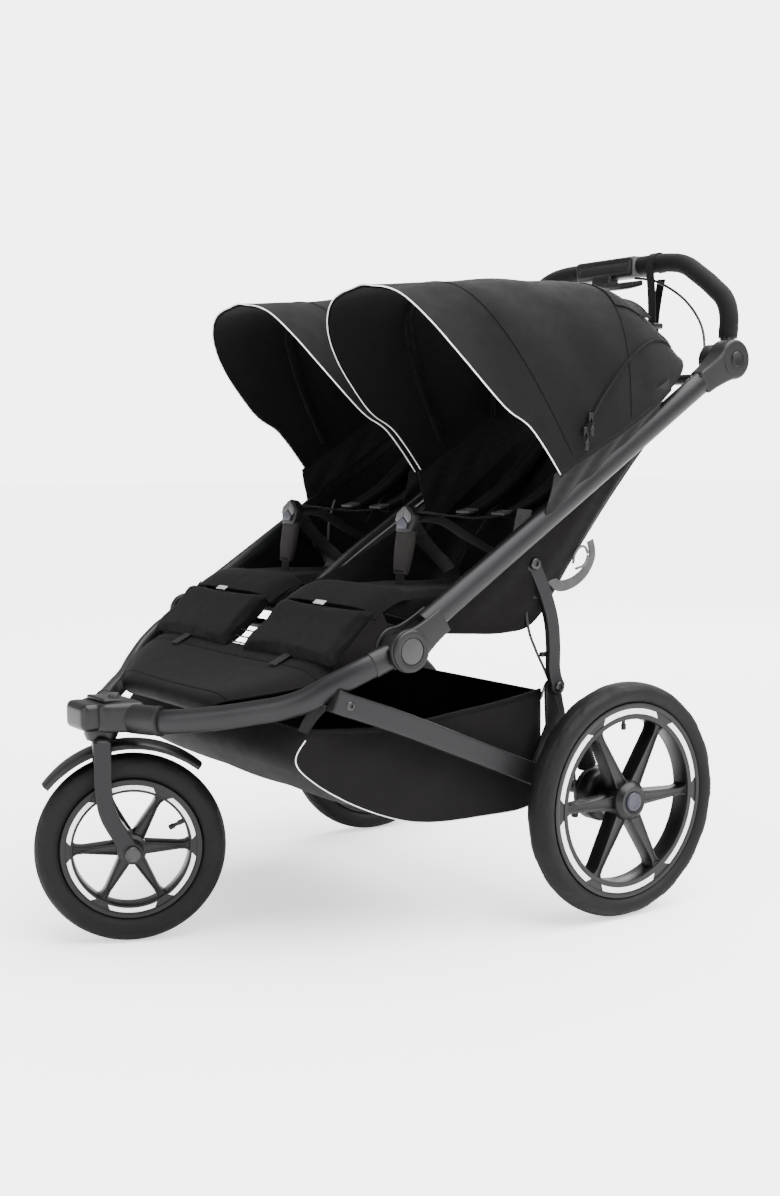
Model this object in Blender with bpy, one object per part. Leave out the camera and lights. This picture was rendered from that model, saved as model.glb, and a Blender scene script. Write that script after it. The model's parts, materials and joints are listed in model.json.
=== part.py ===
"""Side-by-side double jogging stroller: frame, wheels, hinges and soft goods.

Metres, +Z up, travelling towards -Y. The origin is on the ground at the middle of the box.
Heights and lengths below are measured from the rear axle line, on the ground.
"""

from math import cos, pi, radians, sin

import bmesh
import bpy
from mathutils import Vector

# Driving dimensions
GAP = 0.0003
AXLE_Y = 0.27644

REAR_R = 0.200
REAR_BEAD = 0.164
REAR_TRACK = 0.370
FRONT_R = 0.153
FRONT_BEAD = 0.111
TYRE_W = 0.048
STEER_Y = -0.783
TRAIL = 0.044
STEER = radians(-22.6)
KNOB_Y = -0.760
SPOKES = 6

FOLD = (-0.439, 0.484)
RAIL_PIVOT = (-0.528, 0.404)
STRUT_TOP = (-0.163, 0.603)
STRUT_FOOT = (-0.106, 0.396)
HANDLE_PIVOT = (0.257, 0.944)
SLOPE = 0.645
TUBE_X = 0.345
TUBE_W = 0.028
TUBE_H = 0.040
FRONT_TUBE_W = 0.027
FRONT_TUBE_H = 0.038
RAIL_X = 0.320
RAIL_W = 0.025
RAIL_H = 0.035
PLATE_X = 0.300
PLATE_T = 0.0115
STRUT_X = 0.319
SHOCK_DIR = Vector((0, -0.42, 0.9075))

SEAT_X = 0.180
SEAT_HALF = 0.118
RECLINE = (-0.118, 0.548)
CANOPY_X = 0.195
CANOPY_HALF = 0.1845
CANOPY_WALL = 0.004
BOW_PIVOT = (-0.105, 0.800)

SIDES = (("left", 1), ("right", -1))
PIVOTS = {}


def at(x, y, z):
    """A point given from the rear axle line, in the part's frame."""
    return Vector((x, y + AXLE_Y, z))


def tube_z(y):
    """Height of the upper tube's centre line."""
    return 0.549 + (y + 0.355) * SLOPE


# Scene, materials and bodies

def clear_scene():
    for obj in list(bpy.data.objects):
        bpy.data.objects.remove(obj)


def finish(name, colour, roughness, metallic=0.0):
    mat = bpy.data.materials.new(name)
    mat.use_nodes = True
    shader = mat.node_tree.nodes["Principled BSDF"]
    shader.inputs["Base Color"].default_value = (*colour, 1)
    shader.inputs["Roughness"].default_value = roughness
    shader.inputs["Metallic"].default_value = metallic
    return mat


def make_body(name, place, parent=None, turn=0.0):
    """An empty on a joint's axis, which the moving pieces hang from, turned about Z."""
    empty = bpy.data.objects.new(name, None)
    bpy.context.collection.objects.link(empty)
    PIVOTS[name] = Vector(place)
    empty.location = place
    if parent is not None:
        empty.parent = parent
        empty.location = Vector(place) - PIVOTS[parent.name]
    empty.rotation_euler.z = turn
    return empty


def solid(name, verts, faces, mat, owner, sharp=35):
    """A mesh object built from straight-ahead world points, hung from its body's empty."""
    mesh = bpy.data.meshes.new(name)
    mesh.from_pydata([Vector(v) - PIVOTS[owner.name] for v in verts], [], faces)
    work = bmesh.new()
    work.from_mesh(mesh)
    bmesh.ops.remove_doubles(work, verts=work.verts, dist=1e-6)
    bmesh.ops.recalc_face_normals(work, faces=work.faces)
    work.to_mesh(mesh)
    work.free()
    mesh.materials.append(mat)
    mesh.shade_smooth()
    mesh.set_sharp_from_angle(angle=radians(sharp))
    obj = bpy.data.objects.new(name, mesh)
    bpy.context.collection.objects.link(obj)
    obj.parent = owner
    return obj


def tool(obj):
    obj.hide_render = True
    obj.display_type = "WIRE"
    return obj


def boolean(obj, other, operation):
    mod = obj.modifiers.new(operation.lower(), "BOOLEAN")
    mod.operation = operation
    mod.solver = "EXACT"
    mod.object = tool(other)


def union(obj, *others):
    for other in others:
        boolean(obj, other, "UNION")
    return obj


def cut(obj, *others):
    for other in others:
        boolean(obj, other, "DIFFERENCE")
    return obj


# Shapes

def loft(rings):
    """Vertices and faces of a skin over rings of equal count, with flat ends."""
    count = len(rings[0])
    verts = [v for ring in rings for v in ring]
    faces = []
    for r in range(len(rings) - 1):
        for i in range(count):
            j = (i + 1) % count
            faces.append((r * count + i, r * count + j, (r + 1) * count + j, (r + 1) * count + i))
    faces.append(tuple(reversed(range(count))))
    last = (len(rings) - 1) * count
    faces.append(tuple(last + i for i in range(count)))
    return verts, faces


def oval(width, height, count=12, power=2.6):
    """A rounded section, as (side, up) offsets."""
    out = []
    for i in range(count):
        a = 2 * pi * (i + 0.5) / count
        c, s = cos(a), sin(a)
        r = (abs(c) ** power + abs(s) ** power) ** (-1 / power)
        out.append((c * r * width / 2, s * r * height / 2))
    return out


def curve(points, steps=4):
    """A smooth line through the points (Catmull-Rom)."""
    pts = [Vector(p) for p in points]
    pts = [2 * pts[0] - pts[1], *pts, 2 * pts[-1] - pts[-2]]
    out = []
    for a, b, c, d in zip(pts, pts[1:], pts[2:], pts[3:]):
        for s in range(steps):
            t = s / steps
            out.append(0.5 * (2 * b + (c - a) * t + (2 * a - 5 * b + 4 * c - d) * t * t
                              + (3 * b - a - 3 * c + d) * t ** 3))
    out.append(pts[-2])
    return out


def sweep(points, section, side=Vector((1, 0, 0)), sizes=None):
    """Rings of the section along the points, kept level by the side direction."""
    rings = []
    for i, p in enumerate(points):
        tangent = (points[min(i + 1, len(points) - 1)] - points[max(i - 1, 0)]).normalized()
        across = (side - tangent * side.dot(tangent)).normalized()
        up = across.cross(tangent).normalized()
        k = 1 if sizes is None else sizes[i]
        rings.append([p + across * a * k + up * b * k for a, b in section])
    return rings


def turned(profile, place, axis, segments, closed=False):
    """A profile of (radius, along) turned about the axis through place."""
    axis = Vector(axis).normalized()
    ref = Vector((0, 0, -1)) if abs(axis.z) < 0.9 else Vector((0, -1, 0))
    ref = (ref - axis * ref.dot(axis)).normalized()
    other = axis.cross(ref)
    place = Vector(place)
    verts, faces = [], []
    for s in range(segments):
        a = 2 * pi * s / segments
        out = ref * cos(a) + other * sin(a)
        verts += [place + out * r + axis * h for r, h in profile]
    n = len(profile)
    spans = n if closed else n - 1
    for s in range(segments):
        t = (s + 1) % segments
        for i in range(spans):
            j = (i + 1) % n
            quad = (s * n + i, s * n + j, t * n + j, t * n + i)
            faces.append(quad)
    if not closed:
        faces.append(tuple(s * n for s in range(segments)))
        faces.append(tuple(s * n + n - 1 for s in reversed(range(segments))))
    return verts, faces


def rod(radius, start, end, segments=16, chamfer=0.0):
    """A plain round bar between two points."""
    start, end = Vector(start), Vector(end)
    length = (end - start).length
    profile = [(radius, 0), (radius, length)]
    if chamfer:
        profile = [(radius - chamfer, 0), (radius, chamfer),
                   (radius, length - chamfer), (radius - chamfer, length)]
    return turned(profile, start, end - start, segments)


def block(low, high, chamfer=0.0):
    """A box between two corners, its edges along Z and Y cut by the chamfer."""
    (x0, y0, z0), (x1, y1, z1) = low, high
    c = chamfer
    ring = [(y0 + c, z0), (y1 - c, z0), (y1, z0 + c), (y1, z1 - c),
            (y1 - c, z1), (y0 + c, z1), (y0, z1 - c), (y0, z0 + c)]
    if not c:
        ring = [(y0, z0), (y1, z0), (y1, z1), (y0, z1)]
    return loft([[Vector((x, y, z)) for y, z in ring] for x in (x0, x1)])


def plate(outline, x0, x1):
    """A (y, z) outline from the axle line, given thickness along X."""
    return loft([[at(x, y, z) for y, z in outline] for x in (x0, x1)])


def mirrored(shape, sign):
    verts, faces = shape
    if sign > 0:
        return verts, faces
    return [Vector((-v[0], v[1], v[2])) for v in verts], faces


# Wheels

def tyre_profile(radius, bead, width):
    middle, half = (radius + bead) / 2, (radius - bead) / 2
    out = []
    for i in range(8):
        a = 2 * pi * i / 8
        out.append((middle + half * cos(a), width / 2 * sin(a)))
    return out


def make_wheel(name, centre, radius, bead, rim_inner, hub, bore, mats, owner, side, recess=0.0):
    """A tyre and a six-spoke rim with its hub, bored for the axle, about X."""
    centre = Vector(centre)
    axis = Vector((1, 0, 0))
    profile = tyre_profile(radius, bead, TYRE_W)
    solid(name + "_tyre", *turned(profile, centre, axis, 36, closed=True), mats["tyre"], owner)
    half = 0.018
    outer = bead - GAP - 0.0006
    ring = [(outer, -half), (outer, half), (rim_inner + 0.004, half), (rim_inner, 0.006), (rim_inner, -0.006),
            (rim_inner + 0.004, -half)]
    rim = solid(name + "_rim", *turned(ring, centre, axis, 36, closed=True), mats["rim"], owner)
    hub_r, hub_in, hub_out = hub
    ends = (-hub_in, hub_out) if side > 0 else (-hub_out, hub_in)
    parts = [solid("tool_hub_" + name, *rod(hub_r, centre + axis * ends[0],
                                            centre + axis * ends[1], 24, 0.003),
                   mats["rim"], owner)]
    for s in range(SPOKES):
        a = 2 * pi * s / SPOKES
        out = Vector((0, cos(a), sin(a)))
        across = Vector((0, -sin(a), cos(a)))
        rings = []
        for r, wide, deep, lift in ((0.012, 0.013, 0.011, 0.004), (hub_r, 0.012, 0.011, 0.004),
                                    (rim_inner + 0.006, 0.008, 0.009, 0.0)):
            c = centre + out * r + axis * lift * side
            corners = ((-1, -1), (1, -1), (1, 1), (-1, 1))
            rings.append([c + across * i * wide + axis * j * deep for i, j in corners])
        parts.append(solid(f"tool_spoke_{name}_{s}", *loft(rings), mats["rim"], owner))
    union(rim, *parts)
    reach = axis * 0.06
    cut(rim, solid("tool_bore_" + name, *rod(bore, centre - reach, centre + reach, 16), mats["rim"], owner))
    if recess:
        start = centre + axis * side * (hub_out - 0.011)
        pocket = rod(recess, start, start + axis * side * 0.05, 20)
        cut(rim, solid("tool_recess_" + name, *pocket, mats["rim"], owner))
    return rim


# Front end

def make_front_frame(mats, root):
    """Bent front tubes with their hinge knuckles, the head housing and the footwell tray."""
    route = ((0.078, -0.737, 0.365), (0.12, -0.72, 0.369), (0.16, -0.69, 0.375), (0.22, -0.637, 0.388),
             (0.28, -0.588, 0.407), (0.313, -0.54, 0.437), (0.333, -0.492, 0.462), (0.3358, -0.4595, 0.4745))
    for side, sign in SIDES:
        points = curve([at(*p) for p in route], 2)
        tube = sweep(points, oval(FRONT_TUBE_W, FRONT_TUBE_H), Vector((0.5, 0.5, 0)))
        shape = solid("front_tube_" + side, *mirrored(loft(tube), sign), mats["tube"], root)
        knuckle = rod(0.029, at(0.3210, *FOLD), at(0.3505, *FOLD), 24)
        lug = plate([(-0.545, 0.432), (-0.540, 0.400), (-0.534, 0.393), (-0.523, 0.393), (-0.516, 0.401),
                     (-0.506, 0.440)], 0.3005, 0.3065)
        for part, tag in ((knuckle, "knuckle"), (lug, "lug")):
            union(shape, solid(f"tool_{tag}_{side}", *mirrored(part, sign), mats["tube"], root))
        bore = rod(0.0105, at(0.3195, *FOLD), at(0.3605, *FOLD), 16)
        pin_hole = rod(0.0048, at(0.2955, *RAIL_PIVOT), at(0.3115, *RAIL_PIVOT), 12)
        for part, tag in ((bore, "bore"), (pin_hole, "pin_hole")):
            cut(shape, solid(f"tool_{tag}_{side}", *mirrored(part, sign), mats["tube"], root))
    make_head(mats, root)
    outline = ((-0.566, 0.449), (-0.600, 0.437), (-0.640, 0.419), (-0.668, 0.407))
    widths = (0.272, 0.242, 0.190, 0.150)
    rings = []
    for (y, z), w in zip(outline, widths):
        rings.append([at(-w, y, z), at(w, y, z), at(w, y + 0.003, z + 0.006), at(-w, y + 0.003, z + 0.006)])
    solid("footwell_tray", *loft(rings), mats["plastic"], root)


def make_head(mats, root):
    """The casting that joins both tubes above the steering axis."""
    rings = []
    for x, y, deep, tall in ((-0.0715, -0.744, 0.020, 0.023), (-0.060, -0.757, 0.026, 0.026),
                             (-0.030, -0.775, 0.036, 0.029), (0.030, -0.775, 0.036, 0.029),
                             (0.060, -0.757, 0.026, 0.026), (0.0715, -0.744, 0.020, 0.023)):
        rings.append([at(x, y + a, 0.369 + b) for a, b in oval(2 * deep, 2 * tall, 12, 3)])
    head = solid("head_housing", *loft(rings), mats["plastic"], root)
    collar = turned([(0.0255, 0), (0.0275, 0.022)], at(0, STEER_Y, 0.3395), (0, 0, 1), 24)
    union(head, solid("tool_collar", *collar, mats["plastic"], root))
    reach = rod(0.0125, at(0, STEER_Y, 0.320), at(0, STEER_Y, 0.372), 20)
    cut(head, solid("tool_stem_bore", *reach, mats["plastic"], root))
    cut(head, solid("tool_lock_well", *rod(0.0094, at(0, KNOB_Y, 0.3865), at(0, KNOB_Y, 0.410), 16),
                    mats["plastic"], root))
    cap_rings = []
    for y, wide, tall in ((-0.8115, 0.024, 0.020), (-0.826, 0.022, 0.018), (-0.832, 0.015, 0.011)):
        cap_rings.append([at(a, y, 0.371 + b) for a, b in oval(2 * wide, 2 * tall, 12, 3)])
    solid("head_cap", *loft(cap_rings), mats["plastic"], root)


def make_fork(mats, steer, spin, knob):
    """Fork, fender, axle and wheel, straight ahead; the steering empty turns them."""
    hub = at(0, STEER_Y + TRAIL, FRONT_R)
    stem = rod(0.012, at(0, STEER_Y, 0.3215), at(0, STEER_Y, 0.366), 20)
    fork = solid("fork", *stem, mats["tube"], steer)
    rings = []
    for x, low, high in ((-0.046, 0.300, 0.318), (-0.036, 0.319, 0.3385),
                         (0.036, 0.319, 0.3385), (0.046, 0.300, 0.318)):
        section = ((-0.016, low), (0.016, low), (0.016, high), (-0.016, high))
        rings.append([at(x, STEER_Y + a, z) for a, z in section])
    union(fork, solid("tool_crown", *loft(rings), mats["tube"], steer))
    route = ((0.043, STEER_Y, 0.325), (0.043, STEER_Y, 0.262), (0.043, STEER_Y + 0.006, 0.220),
             (0.043, STEER_Y + 0.024, 0.184), (0.043, STEER_Y + TRAIL, FRONT_R))
    for side, sign in SIDES:
        leg = loft(sweep(curve([at(*p) for p in route], 2), oval(0.013, 0.028, 8)))
        eye = rod(0.017, at(0.0365, STEER_Y + TRAIL, FRONT_R), at(0.0495, STEER_Y + TRAIL, FRONT_R), 20)
        for part, tag in ((leg, "leg"), (eye, "eye")):
            union(fork, solid(f"tool_{tag}_{side}", *mirrored(part, sign), mats["tube"], steer))
    through = Vector((0.08, 0, 0))
    cut(fork, solid("tool_axle_hole", *rod(0.0063, hub - through, hub + through, 16), mats["tube"], steer))
    ends = Vector((0.0565, 0, 0))
    cap = Vector((0.0505, 0, 0))
    axle = solid("front_axle", *rod(0.006, hub - cap, hub + cap, 16), mats["steel"], steer)
    for side, sign in SIDES:
        cap_rod = rod(0.0125, hub + cap * sign * 0.99, hub + ends * sign, 16, 0.001)
        union(axle, solid("tool_axle_cap_" + side, *cap_rod, mats["steel"], steer))
    arc = []
    for i in range(9):
        a = radians(50 + 91 * i / 8)
        arc.append(hub + Vector((0, cos(a) * 0.1625, sin(a) * 0.1625)))
    section = [(-0.027, -0.0055), (-0.023, 0.0005), (0.023, 0.0005), (0.027, -0.0055), (0.030, -0.0055),
               (0.024, 0.0045), (-0.024, 0.0045), (-0.030, -0.0055)]
    rings = []
    for p in arc:
        out = (p - hub).normalized()
        rings.append([p + Vector((a, 0, 0)) + out * b for a, b in section])
    solid("fender", *loft(rings), mats["plastic"], steer)
    make_wheel("front", hub, FRONT_R, FRONT_BEAD, 0.0925, (0.024, 0.034, 0.034), 0.0064, mats, spin, 1)
    press = rod(0.0090, at(0, KNOB_Y, 0.3905), at(0, KNOB_Y, 0.4025), 16, 0.001)
    solid("swivel_lock_button", *press, mats["plastic"], knob)


# Folding frame

def make_upper_frame(mats, upper):
    """Straight oval tubes with hinge plates, housings, the middle tube and the cross bars."""
    for side, sign in SIDES:
        points = [at(TUBE_X, y, tube_z(y)) for y in (-0.405, 0.2268)]
        tube = solid("upper_tube_" + side, *mirrored(loft(sweep(points, oval(TUBE_W, TUBE_H))), sign),
                     mats["tube"], upper)
        fy, fz = FOLD
        parts = {
            "outer_plate": rod(0.034, at(0.3512, fy, fz), at(0.361, fy, fz), 28),
            "inner_plate": rod(0.034, at(0.3150, fy, fz), at(0.3203, fy, fz), 28),
            "web": plate([(-0.4145, 0.526), (-0.4080, 0.500), (-0.4060, 0.470), (-0.380, 0.500),
                          (-0.355, 0.535),
                          (-0.372, 0.556)], 0.3155, 0.3605),
            "pin": rod(0.010, at(0.318, fy, fz), at(0.358, fy, fz), 16),
            "lug_top": plate([(-0.182, 0.650), (-0.176, 0.632), (-0.142, 0.650), (-0.148, 0.672)],
                             PLATE_X, 0.345),
            "lug": plate([(-0.180, 0.640), (-0.177, 0.600), (-0.170, 0.591), (-0.156, 0.591), (-0.149, 0.600),
                          (-0.144, 0.655)], PLATE_X, PLATE_X + PLATE_T),
        }
        for tag, part in parts.items():
            union(tube, solid(f"tool_{tag}_{side}", *mirrored(part, sign), mats["tube"], upper))
        hole = rod(0.0052, at(0.295, *STRUT_TOP), at(0.315, *STRUT_TOP), 12)
        cut(tube, solid("tool_strut_hole_" + side, *mirrored(hole, sign), mats["tube"], upper))
        badge = turned([(0.033, 0), (0.033, 0.002), (0.031, 0.0035), (0.0215, 0.0035), (0.0205, 0.006)],
                       at(0.3613, fy, fz), (1, 0, 0), 28)
        solid("hinge_cap_" + side, *mirrored(badge, sign), mats["plastic"], upper)
        house = turned([(0.034, 0), (0.034, 0.034), (0.031, 0.038)], at(0.3303, *HANDLE_PIVOT), (1, 0, 0), 28)
        housing = solid("handle_housing_" + side, *mirrored(house, sign), mats["plastic"], upper)
        well = rod(0.0135, at(0.356, *HANDLE_PIVOT), at(0.380, *HANDLE_PIVOT), 20)
        stub = rod(0.0107, at(0.325, *HANDLE_PIVOT), at(0.350, *HANDLE_PIVOT), 20)
        for tag, part in (("well", well), ("stub_hole", stub)):
            cut(housing, solid(f"tool_{tag}_{side}", *mirrored(part, sign), mats["plastic"], upper))
    reach = 0.3150 - GAP
    solid("seat_cross_bar", *rod(0.009, at(-reach, -0.415, 0.480), at(reach, -0.415, 0.480), 12),
          mats["tube"], upper)
    reach = TUBE_X - TUBE_W / 2 - GAP
    bar_y = 0.205
    solid("rear_cross_bar", *rod(0.009, at(-reach, bar_y, tube_z(bar_y)), at(reach, bar_y,
                                                                             tube_z(bar_y)), 12),
          mats["tube"], upper)
    route = [at(0, -0.415, 0.4895), at(0, -0.411, 0.516), at(0, -0.385, 0.547), at(0, -0.136, 0.712)]
    middle = curve(route, 3)
    middle += [at(0, 0.1905, 0.9125)]
    solid("middle_tube", *loft(sweep(middle, oval(0.014, 0.016, 10, 2))), mats["tube"], upper)


def make_handlebar(mats, handle, lever, buttons):
    """Bent bar on its two pivots, with grip, brake mount, lever and angle buttons."""
    half = ((0.150, 0.315, 1.135), (0.178, 0.3145, 1.130), (0.225, 0.310, 1.106), (0.290, 0.300, 1.066),
            (0.309, 0.295, 1.045), (0.3155, 0.2925, 1.015), (0.316, 0.290, 0.980), (0.316, 0.276, 0.957),
            (0.316, 0.262, 0.9465))
    route = [at(-p[0], p[1], p[2]) for p in reversed(half)] + [at(*p) for p in half]
    bar = solid("handlebar", *loft(sweep(route, oval(0.022, 0.026, 10), Vector((0, 1, 0.001)))),
                mats["tube"], handle)
    for side, sign in SIDES:
        hub = rod(0.0285, at(0.3035, *HANDLE_PIVOT), at(0.330, *HANDLE_PIVOT), 24)
        stub = rod(0.0104, at(0.320, *HANDLE_PIVOT), at(0.3495, *HANDLE_PIVOT), 16)
        for part, tag in ((hub, "hub"), (stub, "stub")):
            union(bar, solid(f"tool_{tag}_{side}", *mirrored(part, sign), mats["tube"], handle))
        cap = rod(0.0131, at(0.3595, *HANDLE_PIVOT), at(0.3710, *HANDLE_PIVOT), 20, 0.0015)
        solid("angle_button_" + side, *mirrored(cap, sign), mats["plastic"], buttons[side])
    section = oval(0.034, 0.036, 12, 2.2)
    grip = solid("grip", *loft(sweep([at(-0.142, 0.315, 1.135), at(0.142, 0.315, 1.135)], section,
                                     Vector((0, 1, 0)))), mats["foam"], handle)
    core = loft(sweep([at(-0.16, 0.315, 1.135), at(0.16, 0.315, 1.135)],
                      [(a * 1.08, b * 1.08) for a, b in oval(0.022, 0.026, 10)], Vector((0, 1, 0))))
    cut(grip, solid("tool_grip_core", *core, mats["foam"], handle))
    solid("brake_mount", *block(at(-0.030, 0.290, 1.094), at(0.030, 0.318, 1.1165), 0.005), mats["plastic"],
          handle)
    blade = [at(x, 0.279 - 0.004 * cos(x * 16), 1.098 - 0.006 * (x / 0.12) ** 2) for x in
             (-0.115, -0.075, -0.030, 0.030, 0.075, 0.115)]
    solid("brake_lever", *loft(sweep(blade, oval(0.011, 0.015, 8), Vector((0, 1, 0)))),
          mats["plastic"], lever)


def make_rear(mats, rail, axle, struts):
    """Lower rails with their upright brackets, the struts, the sprung axle and its drums."""
    for side, sign in SIDES:
        route = [at(RAIL_X, *p) for p in (RAIL_PIVOT, (-0.505, 0.396), (-0.428, 0.3665), (-0.330, 0.326),
                                          (-0.227, 0.283), (-0.141, 0.247), (-0.088, 0.2245))]
        sizes = (0.66, 0.80, 1, 1, 1, 1, 0.8)
        tube = solid("lower_rail_" + side, *mirrored(loft(sweep(route, oval(RAIL_W, RAIL_H), sizes=sizes)),
                                                     sign),
                     mats["tube"], rail)
        x1 = PLATE_X + PLATE_T
        py, pz = RAIL_PIVOT
        fy, fz = STRUT_FOOT
        bracket = plate([(fy - 0.012, fz + 0.006), (fy - 0.006, fz + 0.012), (fy + 0.006, fz + 0.012),
                         (fy + 0.014, fz + 0.002), (-0.070, 0.352), (-0.038, 0.309), (-0.042, 0.3035),
                         (-0.064, 0.293), (-0.074, 0.268), (-0.078, 0.232), (-0.092, 0.216), (-0.112, 0.226),
                         (-0.098, 0.270), (-0.090, 0.320), (-0.102, 0.360)], PLATE_X, x1)
        shelf = [at(0.306, 0, REAR_R) + SHOCK_DIR * t for t in (0.1048, 0.1160)]
        parts = {
            "bracket": bracket,
            "rail_end": block(at(PLATE_X + 0.001, -0.118, 0.226), at(0.322, -0.092, 0.250)),
            "shelf": rod(0.0145, *shelf, 16),
            "rail_pin": rod(0.0045, at(0.297, py, pz), at(0.315, py, pz), 12),
            "foot_pin": rod(0.0045, at(0.305, fy, fz), at(0.3125, fy, fz), 12),
        }
        for tag, part in parts.items():
            union(tube, solid(f"tool_{tag}_{side}", *mirrored(part, sign), mats["tube"], rail))
        bar = [at(STRUT_X, *p) for p in (STRUT_TOP, (-0.150, 0.580), (-0.135, 0.550), (-0.120, 0.507),
                                         (-0.115, 0.465), (-0.1145, 0.425), STRUT_FOOT)]
        strut = solid("strut_" + side, *mirrored(loft(sweep(bar, oval(0.0125, 0.024, 10))), sign),
                      mats["tube"], struts[side])
        eyes = {
            "top_eye": rod(0.0135, at(0.3128, *STRUT_TOP), at(0.3252, *STRUT_TOP), 20),
            "foot_eye": rod(0.0125, at(0.3135, *STRUT_FOOT), at(0.3252, *STRUT_FOOT), 20),
            "top_pin": rod(0.0048, at(0.298, *STRUT_TOP), at(0.327, *STRUT_TOP), 12),
            "foot_bolt": rod(0.0075, at(0.320, *STRUT_FOOT), at(0.3285, *STRUT_FOOT), 12),
        }
        for tag, part in eyes.items():
            union(strut, solid(f"tool_{tag}_{side}", *mirrored(part, sign), mats["tube"], struts[side]))
        drum = turned([(0.030, 0), (0.047, 0.004), (0.047, 0.036), (0.040, 0.0395), (0.009, 0.0395),
                       (0.009, 0.084)],
                      at(0.2965, 0, REAR_R), (1, 0, 0), 32)
        carrier = solid("brake_drum_" + side, *mirrored(drum, sign), mats["plastic"], axle)
        foot = at(0.306, 0, REAR_R) + SHOCK_DIR * 0.040
        top = at(0.306, 0, REAR_R) + SHOCK_DIR * 0.052
        union(carrier, solid("tool_shock_foot_" + side, *mirrored(rod(0.0145, foot, top, 16), sign),
                             mats["plastic"], axle))
        low, turns = 0.0523, 4
        pitch = (0.1045 - low) / turns
        folds = []
        for i in range(turns):
            folds += [(0.0125, i * pitch), (0.0165, (i + 0.5) * pitch)]
        folds.append((0.0125, turns * pitch))
        shock = turned(folds, at(0.306, 0, REAR_R) + SHOCK_DIR * low, SHOCK_DIR, 16)
        solid("shock_bellows_" + side, *mirrored(shock, sign), mats["rubber"], rail)
    reach = 0.2965 - GAP
    solid("rear_axle_beam", *rod(0.012, at(-reach, 0, REAR_R), at(reach, 0, REAR_R), 16), mats["tube"], axle)


def make_rear_wheels(mats, wheels, caps):
    for side, sign in SIDES:
        centre = at(REAR_TRACK * sign, 0, REAR_R)
        make_wheel("rear_" + side, centre, REAR_R, REAR_BEAD, 0.1385, (0.034, 0.033, 0.027), 0.0094, mats,
                   wheels[side], sign, recess=0.0166)
        button = rod(0.0162, at(0.3905, 0, REAR_R), at(0.4000, 0, REAR_R), 20, 0.0015)
        solid("release_button_" + side, *mirrored(button, sign), mats["plastic"], caps[side])


# Soft goods

def make_seats(mats, upper, backs):
    base = ((-0.440, 0.528), (-0.446, 0.540), (-0.438, 0.552), (-0.400, 0.562), (-0.320, 0.563),
            (-0.200, 0.560),
            (-0.132, 0.562), (-0.130, 0.530), (-0.150, 0.508), (-0.197, 0.502), (-0.321, 0.514),
            (-0.390, 0.512))
    rest = ((-0.1245, 0.552), (-0.1245, 0.575), (-0.105, 0.620), (0.115, 0.872), (0.128, 0.880),
            (0.142, 0.866),
            (0.138, 0.850), (-0.085, 0.590), (-0.100, 0.552))
    pad = ((-0.452, 0.548), (-0.447, 0.536), (-0.452, 0.524), (-0.500, 0.478), (-0.536, 0.452),
           (-0.548, 0.454),
           (-0.546, 0.466), (-0.500, 0.507), (-0.468, 0.540))
    for side, sign in SIDES:
        low, high = SEAT_X - SEAT_HALF, SEAT_X + SEAT_HALF
        solid("seat_base_" + side, *mirrored(plate(base, low, high), sign), mats["fabric"], upper)
        solid("seat_back_" + side, *mirrored(plate(rest, low, high), sign), mats["fabric"], backs[side])
        solid("leg_pad_" + side, *mirrored(plate(pad, 0.022, 0.298), sign), mats["fabric"], upper)


def make_buckles(mats, upper, releases):
    """Crotch straps with their covers and buckles, and the release button of each."""
    for side, sign in SIDES:
        rings = []
        for y, z, wide, deep in ((-0.330, 0.5635, 0.017, 0.008), (-0.327, 0.600, 0.022, 0.011),
                                 (-0.319, 0.650, 0.024, 0.012), (-0.313, 0.672, 0.022, 0.012),
                                 (-0.308, 0.691, 0.012, 0.008)):
            rings.append([at(SEAT_X * sign + a, y + b, z) for a, b in oval(2 * wide, 2 * deep, 10)])
        buckle = solid("crotch_buckle_" + side, *loft(rings), mats["plastic"], upper)
        well = rod(0.0082, at(SEAT_X * sign, -0.3260, 0.665), at(SEAT_X * sign, -0.350, 0.665), 16)
        cut(buckle, solid("tool_buckle_well_" + side, *well, mats["plastic"], upper))
        press = rod(0.0078, at(SEAT_X * sign, -0.3285, 0.665), at(SEAT_X * sign, -0.3320, 0.665), 16)
        solid("buckle_button_" + side, *press, mats["plastic"], releases[side])


def arch(foot, crown, half, count=9):
    """Points over a canopy section, from its outer foot over the crown to its inner foot."""
    out = []
    for i in range(count):
        a = pi * i / (count - 1)
        rise = abs(sin(a)) ** 0.75
        wide = abs(cos(a)) ** 0.62 * (1 if cos(a) >= 0 else -1)
        y = foot[0] + (crown[0] - foot[0]) * rise
        z = foot[1] + (crown[1] - foot[1]) * rise
        out.append(Vector((wide * half, y, z)))
    return out


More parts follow.
